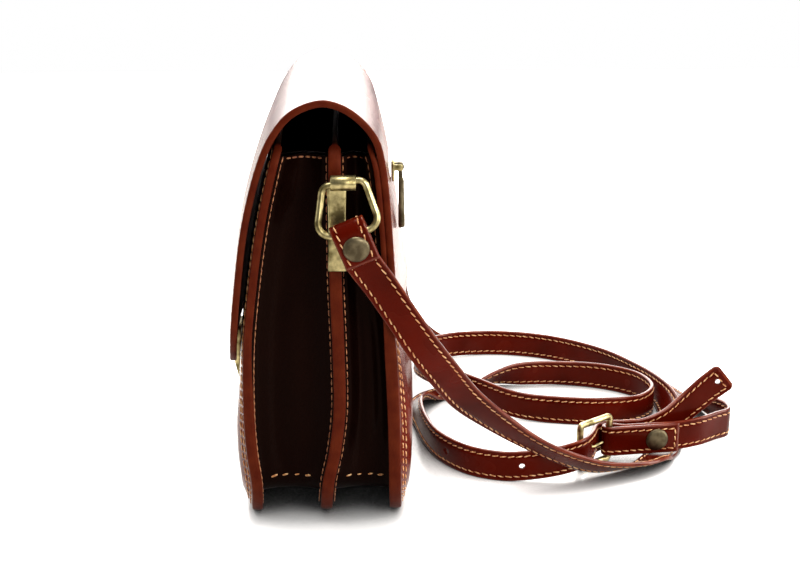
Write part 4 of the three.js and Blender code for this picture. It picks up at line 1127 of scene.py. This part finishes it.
def stitch_pods(place, along, out, length, radius, slant_deg):
    """Pods on a seam. At angle a along the pod the thread lies at -cos(a) of half its length, is as thick as
    the root of sin(a), and rises out of the leather by sin(a)."""
    slant = math.radians(slant_deg)
    across = unit(np.cross(out, along))
    along = unit(along)
    run = along * math.cos(slant) + across * math.sin(slant)
    side = across * math.cos(slant) - along * math.sin(slant)
    a = np.linspace(0, np.pi, POD_RINGS + 2)[1:-1]
    b = np.linspace(0, 2 * np.pi, POD_SIDES, endpoint=False)
    thick = radius * np.sqrt(np.sin(a))[:, None]
    t = np.broadcast_to(-length / 2 * np.cos(a)[:, None], (POD_RINGS, POD_SIDES))
    s = thick * np.cos(b)
    h = 0.75 * thick * np.sin(b) + 0.45 * radius * np.sin(a)[:, None]
    body = np.stack([t, s, h], -1).reshape(-1, 3)
    tips = np.array([[-length / 2, 0, -radius * 0.6], [length / 2, 0, -radius * 0.6]])
    pod = np.concatenate([body, tips])
    axes = np.stack([run, side, unit(out)], 1)
    points = (place[:, None] + np.einsum("pk,nkd->npd", pod, axes)).reshape(-1, 3)
    first = np.arange(POD_SIDES)
    faces = np.concatenate([strip_faces(POD_RINGS, POD_SIDES, False, True),
                            fan_faces(first[::-1], len(body)),
                            fan_faces(first + (POD_RINGS - 1) * POD_SIDES, len(body) + 1)])
    start = (np.arange(len(place)) * len(pod))[:, None, None]
    return points, np.where(faces < 0, -1, faces + start).reshape(-1, 4)


def seam(path, out, pitch, length, radius, slant_deg=0.0, closed=False):
    """Pods every pitch along a dense line of points, out giving the leather's outward side at each."""
    line = np.concatenate([path, path[:1]]) if closed else path
    outs = np.concatenate([out, out[:1]]) if closed else out
    walked = np.concatenate([[0], np.cumsum(np.linalg.norm(np.diff(line, axis=0), axis=1))])
    count = max(2, int(round(walked[-1] / pitch)))
    at = (np.arange(count) + 0.5) * walked[-1] / count
    place, outs = (np.stack([np.interp(at, walked, v[:, k]) for k in range(3)], -1) for v in (line, outs))
    slope = np.stack([np.interp(at, walked, np.gradient(line[:, k], walked)) for k in range(3)], -1)
    return stitch_pods(place, slope, unit(outs), length, radius, slant_deg)


straight_row = np.outer(np.linspace(0, 100, 11), [1.0, 0.0, 0.0])
row_points, _ = seam(straight_row, np.tile([0.0, 0.0, 1.0], (11, 1)), 5.0, 4.0, 0.4)
print("100 mm of seam", len(row_points), "points")

# %% Seams on the straps
STRAP_STITCH = {"pitch": 4.6, "length": 3.9, "radius": 0.38}
STRAP_END_STITCH = {"pitch": 4.0, "length": 3.3, "radius": 0.42, "slant_deg": 10}
STRAP_SLANT, STITCH_SUNK, END_ROW_POINTS = 10, 0.25, 13
FREE_START, FREE_TIP, FREE_FOLD = 2.0, 3.4, 2.0


def strap_seams(line, free_start, free_end):
    """Two rows on both faces of a strap, from one distance to another, and a short row across the far end."""
    at = np.arange(free_start, line["length"][-1] - free_end, 1.0)
    reach = STRAP_WIDTH / 2 - STITCH_INSET
    f = frames_at(line, at)
    end = {k: v[-1] for k, v in f.items()}
    rows = []
    for face_side in (-1, 1):
        skin = face_side * (STRAP_LEATHER / 2 - STITCH_SUNK)
        for edge_side in (-1, 1):
            path = f["centre"] + f["across"] * edge_side * reach + f["face"] * skin
            rows.append(seam(path, f["face"] * face_side, slant_deg=STRAP_SLANT * edge_side * face_side,
                             **STRAP_STITCH))
        offsets = np.linspace(-reach, reach, END_ROW_POINTS)[:, None]
        end_row = end["centre"] + end["across"] * offsets + end["face"] * skin
        rows.append(seam(end_row, np.tile(end["face"] * face_side, (END_ROW_POINTS, 1)), **STRAP_END_STITCH))
    return together(rows)


dress(make_piece("strap_long_stitches", *strap_seams(long_line, FREE_START, FREE_TIP), LIGHT_THREAD),
      "strap_leather")
dress(make_piece("strap_short_stitches", *strap_seams(short_line, FREE_START, FREE_FOLD), LIGHT_THREAD),
      "strap_leather")

# %% [markdown]
# The front and back panels have two rows round their outer faces, and the flap has one on each side. Such a
# row is the sheet's outline moved in and bent with the sheet.

# %% Seams round the panels and the flap
OUTER_STITCH = {"pitch": 4.4, "length": 3.5, "radius": 0.42, "slant_deg": 9}
FLAP_STITCH = {"pitch": 4.4, "length": 3.4, "radius": 0.3, "slant_deg": 9}
PANEL_ROWS_IN, FLAP_ROW_IN = (4.0, 6.6), 4.2


def sheet_seam(outline, place, distance, depth, **stitch):
    """Row a distance in from a sheet's edge, on the outer side at depth 0 or the inner at the thickness."""
    loop, neighbour = inset(outline, distance), inset(outline, distance + 1)
    path = place(loop[:, 0], loop[:, 1], depth)
    outward = place(loop[:, 0], loop[:, 1], depth - 1) - path
    if depth > 1:
        outward = -outward
    inward = place(neighbour[:, 0], neighbour[:, 1], depth) - path
    along = np.roll(path, -1, 0) - np.roll(path, 1, 0)
    out = unit(np.cross(along, inward))
    out = out * np.sign((out * outward).sum(1))[:, None]
    return seam(path, out, closed=True, **stitch)


panel_rows = [sheet_seam(PANEL_OUTLINE, place, row_in, 0.0, **OUTER_STITCH)
              for place in (place_front, place_back) for row_in in PANEL_ROWS_IN]
dress(make_piece("panel_stitches", *together(panel_rows), LIGHT_THREAD), "body_leather")
flap_rows = [sheet_seam(FLAP_OUTLINE, place_flap, FLAP_ROW_IN, depth, **FLAP_STITCH)
             for depth in (STITCH_SUNK, FLAP_BODY - STITCH_SUNK)]
# The flap's rows take the darker thread: painted shade.
dress(make_piece("flap_stitches", *together(flap_rows), SHADED_THREAD), "body_leather")

# %% [markdown]
# The gussets' flanges are sewn to the panels in rows that show from inside the channel. A row crosses each
# gusset near its top, where the leather is hemmed, and one in thick thread crosses it at the foot.

# %% Seams on the flanges
FLANGE = FLANGE_GAP + GUSSET_LEATHER
FLANGE_STITCH = {"pitch": 4.2, "length": 3.5, "radius": 0.5}
PANEL_REACHES, DIVIDER_REACHES = (8.2, 5.6), (7.6,)
SEWN_FACES = ((front_inner, 1, PANEL_REACHES), (divider_front, -1, DIVIDER_REACHES),
              (divider_back, 1, DIVIDER_REACHES), (back_inner, -1, PANEL_REACHES))


def flange_seam(face, sense, reach, **stitch):
    """Row on the channel side of a flange, a distance out from the fold line."""
    line, normal = gusset_path(400)
    x, z = line[:, 0] + normal[:, 0] * reach, line[:, 1] + normal[:, 1] * reach
    y = face(x, z) + sense * FLANGE
    return seam(np.stack([x, y, z], -1), np.tile([0.0, sense, 0.0], (len(x), 1)), **stitch)


flange_rows = [flange_seam(face, sense, reach, **FLANGE_STITCH)
               for face, sense, reaches in SEWN_FACES for reach in reaches]
# The flange rows take the darker thread: painted shade.
dress(make_piece("flange_stitches", *together(flange_rows), SHADED_THREAD), "gusset_leather")

# %% Seams across the gussets
CROSS_POINTS = 60
HEM_STITCH = {"pitch": 3.6, "length": 2.8, "radius": 0.5}
FOOT_STITCH = {"pitch": 5.6, "length": 4.2, "radius": 0.75, "slant_deg": 12}
HEM_HEIGHT, HEM_MARGIN, HEM_STAND = GUSSET_TOP - 2.6, 1.0, GUSSET_LEATHER / 2 + 0.1
FOOT_HEIGHT, FOOT_MARGIN, FOOT_DIP = 23.5, 3.0, 0.85


def cross_seam(low_face, high_face, side, height, dip, margin, stand, **stitch):
    """Row across a gusset's web at one height, standing out from its middle line. Where the web slopes by s
    the skin lies root (1 + s squared) times further out along X than its distance from that line."""
    share = np.linspace(0.06, 0.94, CROSS_POINTS)
    x0 = HALF - GUSSET_INSET
    low = low_face(x0, height) + FLANGE + margin
    high = high_face(x0, height) - FLANGE - margin
    bend = BASE_CORNER - GUSSET_INSET
    drop = max(0.0, BASE_CORNER - height)
    x0 = x0 - bend + math.sqrt(bend ** 2 - drop ** 2)
    slope = dip * np.pi * np.cos(np.pi * share) / (high - low)
    x = x0 + stand * np.sqrt(1 + slope ** 2) - dip * np.sin(np.pi * share)
    path = np.stack([side * x, low * (1 - share) + high * share, np.full(CROSS_POINTS, height)], -1)
    out = np.tile([side * 1.0, 0.0, -drop / bend], (CROSS_POINTS, 1))
    return seam(path, out, **stitch)


hem_rows, foot_rows = [], []
for side in ENDS.values():
    for low_face, high_face, dip in GUSSETS.values():
        hem_rows.append(cross_seam(low_face, high_face, side, HEM_HEIGHT, dip, HEM_MARGIN, HEM_STAND,
                                   **HEM_STITCH))
        foot_rows.append(cross_seam(low_face, high_face, side, FOOT_HEIGHT, FOOT_DIP * dip, FOOT_MARGIN, 0.0,
                                    **FOOT_STITCH))
# The hem rows take the darker thread: painted shade.
dress(make_piece("gusset_hem_stitches", *together(hem_rows), SHADED_THREAD), "gusset_leather")
dress(make_piece("gusset_foot_stitches", *together(foot_rows), LIGHT_THREAD), "gusset_leather")

# %% [markdown]
# ## Rings, hangers and caps
# The rings are bent wire, so a circle is carried round a rounded trapezoid. Each hangs in a barrel rolled
# at the top of a sheet-brass clip that grips the divider's edge. The caps are stamped domes.

# %% Wire
RING_WIRE, RING_POINTS = 1.8, 160
RING_CORNERS = [6.5, 6.5, 4.0, 4.0]


def wire(path, radius, plane_normal, sides=16, closed=True, squareness=1.0):
    """Section carried along a flat path. squareness under 1 flattens its sides."""
    if closed:
        along = unit(np.roll(path, -1, 0) - np.roll(path, 1, 0))
    else:
        along = unit(np.gradient(path, axis=0))
    side = unit(np.cross(along, plane_normal))
    over = np.cross(side, along)
    a = np.linspace(0, 2 * np.pi, sides, endpoint=False)
    c = np.sign(np.cos(a)) * np.abs(np.cos(a)) ** squareness
    s = np.sign(np.sin(a)) * np.abs(np.sin(a)) ** squareness
    loops = path[:, None] + radius * (c[:, None] * side[:, None] + s[:, None] * over[:, None])
    return loft(loops, joined=closed)


ring_outline = rounded_outline(
    [(-RING["left"], -RING["drop"]), (RING["right"], -RING["drop"]), (RING["top"], 0), (-RING["top"], 0)],
    RING_CORNERS, RING_POINTS)
print("ring", np.ptp(ring_outline, axis=0).round(1).tolist(), "mm along its wire's middle")

# %% Barrels and clips
CLIP = {"foot": 142.0, "y": 8.0, "face": 101.9, "sheet": 1.0, "inner": 0.8, "half": 4.5, "flare": 0.55,
        "corner": 1.3, "wrap": 2.6}
BARREL_LIP = 0.3


def barrel_and_clip(side):
    """Rolled barrel, a tube spun about Y, and the clip below it: a waisted plate whose sides fold back."""
    a = np.linspace(0, 2 * np.pi, 40, endpoint=False)
    half, outer, bore, lip = BARREL["length"] / 2, BARREL["outer"], BARREL["bore"], BARREL_LIP
    profile = np.array([(outer - lip, -half), (outer, -half + lip), (outer, half - lip), (outer - lip, half),
                        (bore, half), (bore, -half)])
    spun = np.stack(np.broadcast_arrays(
        side * BARREL["x"] + profile[None, :, 0] * np.cos(a)[:, None], BARREL["y"] + profile[None, :, 1],
        BARREL["z"] + profile[None, :, 0] * np.sin(a)[:, None]), -1)
    z = np.linspace(BARREL["z"] - 2.0, CLIP["foot"], 40)[:, None]
    share = (z - CLIP["foot"]) / (BARREL["z"] - CLIP["foot"])
    reach = CLIP["half"] + CLIP["flare"] * (np.abs(2 * share - 0.9)) ** 2
    bend = np.linspace(-1, 1, 21)[None, :]
    fold = np.clip((np.abs(bend) - 0.6) / 0.4, 0, 1) * np.pi / 2
    corner = CLIP["corner"]
    flank = np.sign(bend) * (np.minimum(np.abs(bend) / 0.6, 1) * (reach - corner) + corner * np.sin(fold))
    back = corner * (1 - np.cos(fold)) + CLIP["wrap"] * np.clip((np.abs(bend) - 0.9) / 0.1, 0, 1)
    skins = []
    for skin_x, narrower in ((CLIP["face"], 0.0), (CLIP["face"] - CLIP["sheet"], CLIP["inner"])):
        shrink = (reach - narrower) / reach
        skins.append(np.stack(np.broadcast_arrays(side * (skin_x - back), CLIP["y"] + flank * shrink, z), -1))
    return together([loft(spun, joined=True), loft(np.concatenate([skins[0], skins[1][:, ::-1]], axis=1))])


print("clip", round(BARREL["z"] - CLIP["foot"], 1), "mm high")

# %% Caps
CAP_PROFILE = np.array([(1.7, 2.12), (3.4, 2.02), (4.8, 1.82), (5.7, 1.5), (6.3, 1.08), (6.62, 0.6),
                        (6.7, 0.3), (6.6, 0.05), (6.3, 0.0)])
CAP_STAND = 0.05


def snap_cap(place, face):
    """Stamped dome: a profile of radius and height spun about the strap's face."""
    side = unit(np.cross(face, [0.3, 0.2, 0.9]))
    a = np.linspace(0, 2 * np.pi, 48, endpoint=False)[None, :, None]
    ring = np.cos(a) * side + np.sin(a) * np.cross(face, side)
    return loft(place + CAP_PROFILE[:, None, :1] * ring + CAP_PROFILE[:, None, 1:] * face)


print("cap", 2 * CAP_PROFILE[:, 0].max(), "mm across")

# %% Rings, hangers and caps at both ends
for end_name, side in ENDS.items():
    bar, along, face, across = loop_frames[end_name]
    ring_normal = np.cross(ring_place(1.0, 0.0, side) - ring_place(0.0, 0.0, side),
                           ring_place(0.0, 1.0, side) - ring_place(0.0, 0.0, side))
    ring_path = ring_place(ring_outline[:, 0], ring_outline[:, 1], side)
    dress(make_piece(f"ring_{end_name}_wire", *wire(ring_path, RING_WIRE, ring_normal), BRASS),
          "antique_brass", f"ring_{end_name}")
    dress(make_piece(f"hanger_{end_name}_clip", *barrel_and_clip(side), BRASS),
          "antique_brass", f"hanger_{end_name}")
    seat = bar + STRAP_LOOP["cap"] * along + (STRAP_LOOP["face"] + STRAP_LEATHER / 2 + CAP_STAND) * face
    dress(make_piece(f"cap_{end_name}_dome", *snap_cap(seat, face), CAP_BRASS),
          "antique_brass", f"cap_{end_name}")
rise = BUCKLE_FOLD["face"] + STRAP_LEATHER / 2 + CAP_STAND
seat = heel + BUCKLE_FOLD["cap"] * fold_along + rise * fold_face
dress(make_piece("cap_buckle_dome", *snap_cap(seat, fold_face), CAP_BRASS), "antique_brass", "cap_buckle")

# %% [markdown]
# ## Buckle
# A plain buckle: a rounded rectangular frame of slightly flattened wire and a prong that goes through a hole
# of the long strap and rests on the frame's far side.

# %% Buckle
BUCKLE_WIRE = 1.8
PRONG_KNOTS = np.array([(6, 0.6), (11, 1.2), (14.6, 1.7), (17, 0), (19.4, -1.7), (23, -2.6), (26.8, -2.6)])
frame_outline = rounded_outline([(0, BUCKLE["low"]), (BUCKLE["length"], BUCKLE["low"]),
                                 (BUCKLE["length"], BUCKLE["high"]), (0, BUCKLE["high"])],
                                [BUCKLE["round"]] * 4, 140)
frame_path = (np.array([BUCKLE["x"], BUCKLE["y"], 0.0]) + frame_outline[:, :1] * frame_reach
              + frame_outline[:, 1:] * Z_AXIS)
dress(make_piece("buckle_frame_wire", *wire(frame_path, BUCKLE_WIRE, frame_side, squareness=0.75), BRASS),
      "antique_brass", "buckle_frame")
prong_flat, _ = curve_through(PRONG_KNOTS, np.linspace(0, len(PRONG_KNOTS) - 1, 60), 0.5)
prong_path = heel + prong_flat[:, :1] * frame_reach + prong_flat[:, 1:] * frame_side
dress(make_piece("buckle_prong_rod", *wire(prong_path, PRONG["radius"], Z_AXIS, closed=False), BRASS),
      "antique_brass", "buckle_prong")

# %% [markdown]
# ## Zip
# The pocket on the back closes with a metal zip. Its teeth are many, so they use the same pod as the
# stitches, alternately above and below the middle of the tape.

# %% Zip teeth and tape
TOOTH = {"pitch": 1.5, "stagger": 0.55, "stand": 1.9, "length": 4.2, "radius": 0.68}
TAPE_MARGIN, TAPE_LOW, TAPE_HIGH = 0.6, 0.15, 1.7
tooth_x = np.arange(-ZIP["half"] + 1, ZIP["half"] - 1, TOOTH["pitch"])
tooth_z = ZIP["z"] + TOOTH["stagger"] * np.where(np.arange(len(tooth_x)) % 2 == 0, 1, -1)
tooth_place = np.stack([tooth_x, back_outer(tooth_x, tooth_z) + GAP + TOOTH["stand"], tooth_z], -1)
upward_rows, backward_rows = (np.tile(v, (len(tooth_x), 1)) for v in (Z_AXIS, [0.0, 1.0, 0.0]))
teeth = stitch_pods(tooth_place, upward_rows, backward_rows, TOOTH["length"], TOOTH["radius"], 0.0)
dress(make_piece("zip_chain_teeth", *teeth, BRASS), "antique_brass", "zip_chain")
strip = zip_strip(ZIP["half"] + TAPE_MARGIN, ZIP["chain"] / 2 + TAPE_MARGIN, TAPE_LOW, TAPE_HIGH)
dress(make_piece("zip_chain_tape", *loft(strip), TAPE), "antique_brass")

# %% [markdown]
# The slider carries two ears and a pin, and the pull swings on that pin, which is why it rides on its own
# body. Both are cast, so their edges are soft.

# %% Zip slider
SLIDER = {"x": 65.0, "width": 8.0, "height": 11.0, "thick": 1.4, "pivot": 4.2, "pivot_up": 2.0, "pin": 0.9,
          "ear": 1.2, "ear_past": 1.5, "ear_height": 3.2}


def pebble(centre, size, squareness=0.35, rings=14, sides=28):
    """Superellipsoid: a box whose faces bulge and whose edges are round, from powers of sine and cosine."""
    def soft(v):
        """A power of the size, with the sign kept."""
        return np.sign(v) * np.abs(v) ** squareness

    lat = np.linspace(-np.pi / 2, np.pi / 2, rings)[1:-1, None]
    lon = np.linspace(0, 2 * np.pi, sides, endpoint=False)[None, :]
    x = soft(np.cos(lat)) * soft(np.cos(lon))
    y = soft(np.cos(lat)) * soft(np.sin(lon))
    z = np.broadcast_to(soft(np.sin(lat)), x.shape)
    return loft(np.asarray(centre) + np.stack([x, y, z], -1) * np.asarray(size) / 2)


base_y = float(back_outer(SLIDER["x"] - SLIDER["width"] / 2, ZIP["z"] - SLIDER["height"] / 2)
               + GAP + FLAP_LEATHER + GAP)
pivot = np.array([SLIDER["x"], base_y + SLIDER["pivot"], ZIP["z"] + SLIDER["pivot_up"]])
ear_top = pivot[1] + SLIDER["ear_past"]
slider_parts = [pebble((SLIDER["x"], base_y + SLIDER["thick"] / 2, ZIP["z"]),
                       (SLIDER["width"], SLIDER["thick"], SLIDER["height"]))]
for ear_side in (-1, 1):
    ear_x = SLIDER["x"] + ear_side * (SLIDER["width"] - SLIDER["ear"]) / 2
    slider_parts.append(pebble((ear_x, (base_y + ear_top) / 2, pivot[2]),
                               (SLIDER["ear"], ear_top - base_y, SLIDER["ear_height"])))
slider_parts.append(rod(pivot, (1, 0, 0), SLIDER["pin"], SLIDER["width"] - SLIDER["ear"]))
dress(make_piece("zip_slider_body", *together(slider_parts), BRASS), "antique_brass", "zip_slider")

# %% Zip pull
PULL = {"length": 35.0, "width": 9.0, "neck": 4.0, "neck_foot": -8.0, "neck_top": -1.6, "shoulder": 6.0,
        "inner": 0.6, "eye": 2.3, "bore": 1.35, "hole": 3.0, "soft": 0.35, "eye_lip": 0.3}
PULL_FACE = [(0, 1.3), (6, 1.3), (7, 2.2), (11.5, 2.2), (13, 1.5), (22, 1.8), (25, 2.6), (32, 2.6), (34, 1.9)]


def pull_tab():
    """Tab round its hole: the section between hole and outline, with soft edges, carried round, and a spun
    eye above it. Its outer face stands forward by PULL_FACE, a table of distance below the pin and
    thickness: at a collar and again at the foot."""
    half, neck, foot, top = PULL["width"] / 2, PULL["neck"] / 2, PULL["neck_foot"], PULL["neck_top"]
    centre_z = -(PULL["length"] - PULL["eye"] - half)
    shoulder = centre_z + PULL["shoulder"]
    outline = rounded_outline([(-half, centre_z - half), (half, centre_z - half), (half, shoulder),
                               (neck, foot), (neck, top), (-neck, top), (-neck, foot), (-half, shoulder)],
                              [half - 0.2, half - 0.2, 8, 3, 0.5, 0.5, 3, 8], 140)
    ray = unit(outline - [0, centre_z])
    rim = [0, centre_z] + PULL["hole"] * ray
    soft = PULL["soft"]
    across = np.array([(0, 1 - soft), (0, soft - 1), (soft, -1), (-soft, -1), (0, soft - 1), (0, 1 - soft),
                       (-soft, 1), (soft, 1)])
    at_rim = np.array([1, 1, 1, 0, 0, 0, 0, 1], bool)
    flat = (np.where(at_rim[None, :, None], rim[:, None], outline[:, None])
            + across[None, :, :1] * ray[:, None])
    outer = np.interp(-flat[..., 1], *np.transpose(PULL_FACE))
    depth = across[None, :, 1] * np.where(across[None, :, 1] > 0, PULL["inner"], outer)
    tab = np.stack([flat[..., 0], -depth, flat[..., 1]], -1) + pivot
    a = np.linspace(0, 2 * np.pi, 28, endpoint=False)
    radius, bore, lip = PULL["eye"], PULL["bore"], PULL["eye_lip"]
    profile = np.array([(radius - lip, -neck), (radius, lip - neck), (radius, neck - lip),
                        (radius - lip, neck), (bore, neck), (bore, -neck)])
    eye = np.stack(np.broadcast_arrays(profile[None, :, 1], profile[None, :, 0] * np.cos(a)[:, None],
                                       profile[None, :, 0] * np.sin(a)[:, None]), -1) + pivot
    return together([loft(tab, joined=True), loft(eye, joined=True)])


dress(make_piece("zip_pull_tab", *pull_tab(), CAP_BRASS), "antique_brass", "zip_pull", body="zip_pull")

# %% [markdown]
# ## Clasp
# The clasp's catch is a cast wedge below the flap: one upright section, thick at the top and thin at the
# foot, carried across and drawn in a little at both ends.

# %% Clasp catch
CLASP = {"width": 24.0, "low": 48.0, "high": 83.0, "depth": 4.2, "knee": 14.0, "foot": 1.0}
CLASP_CORNERS = [0.15, 0.15, 0.8, 3.0, 0.35]
low, high = CLASP["low"], CLASP["high"]
clasp_heights = np.linspace(low, high, 5)
clasp_face = float(front_outer(np.zeros(5), clasp_heights).min()) - GAP
clasp_front = clasp_face - CLASP["depth"]
wedge = rounded_outline([(clasp_face, low), (clasp_face, high), (clasp_front, high),
                         (clasp_front, low + CLASP["knee"]), (clasp_face - CLASP["foot"], low)],
                        CLASP_CORNERS, 80)
across_clasp = np.array([-1, -0.985, -0.95, 0.95, 0.985, 1]) * CLASP["width"] / 2
shrink = np.array([0.9, 0.97, 1, 1, 0.97, 0.9])
wedge_middle = wedge.mean(0)
wedge_loops = wedge_middle + (wedge - wedge_middle)[None] * shrink[:, None, None]
catch = np.stack(np.broadcast_arrays(across_clasp[:, None], wedge_loops[..., 0], wedge_loops[..., 1]), -1)
dress(make_piece("clasp_catch_wedge", *loft(catch), BRASS), "antique_brass", "clasp_catch")
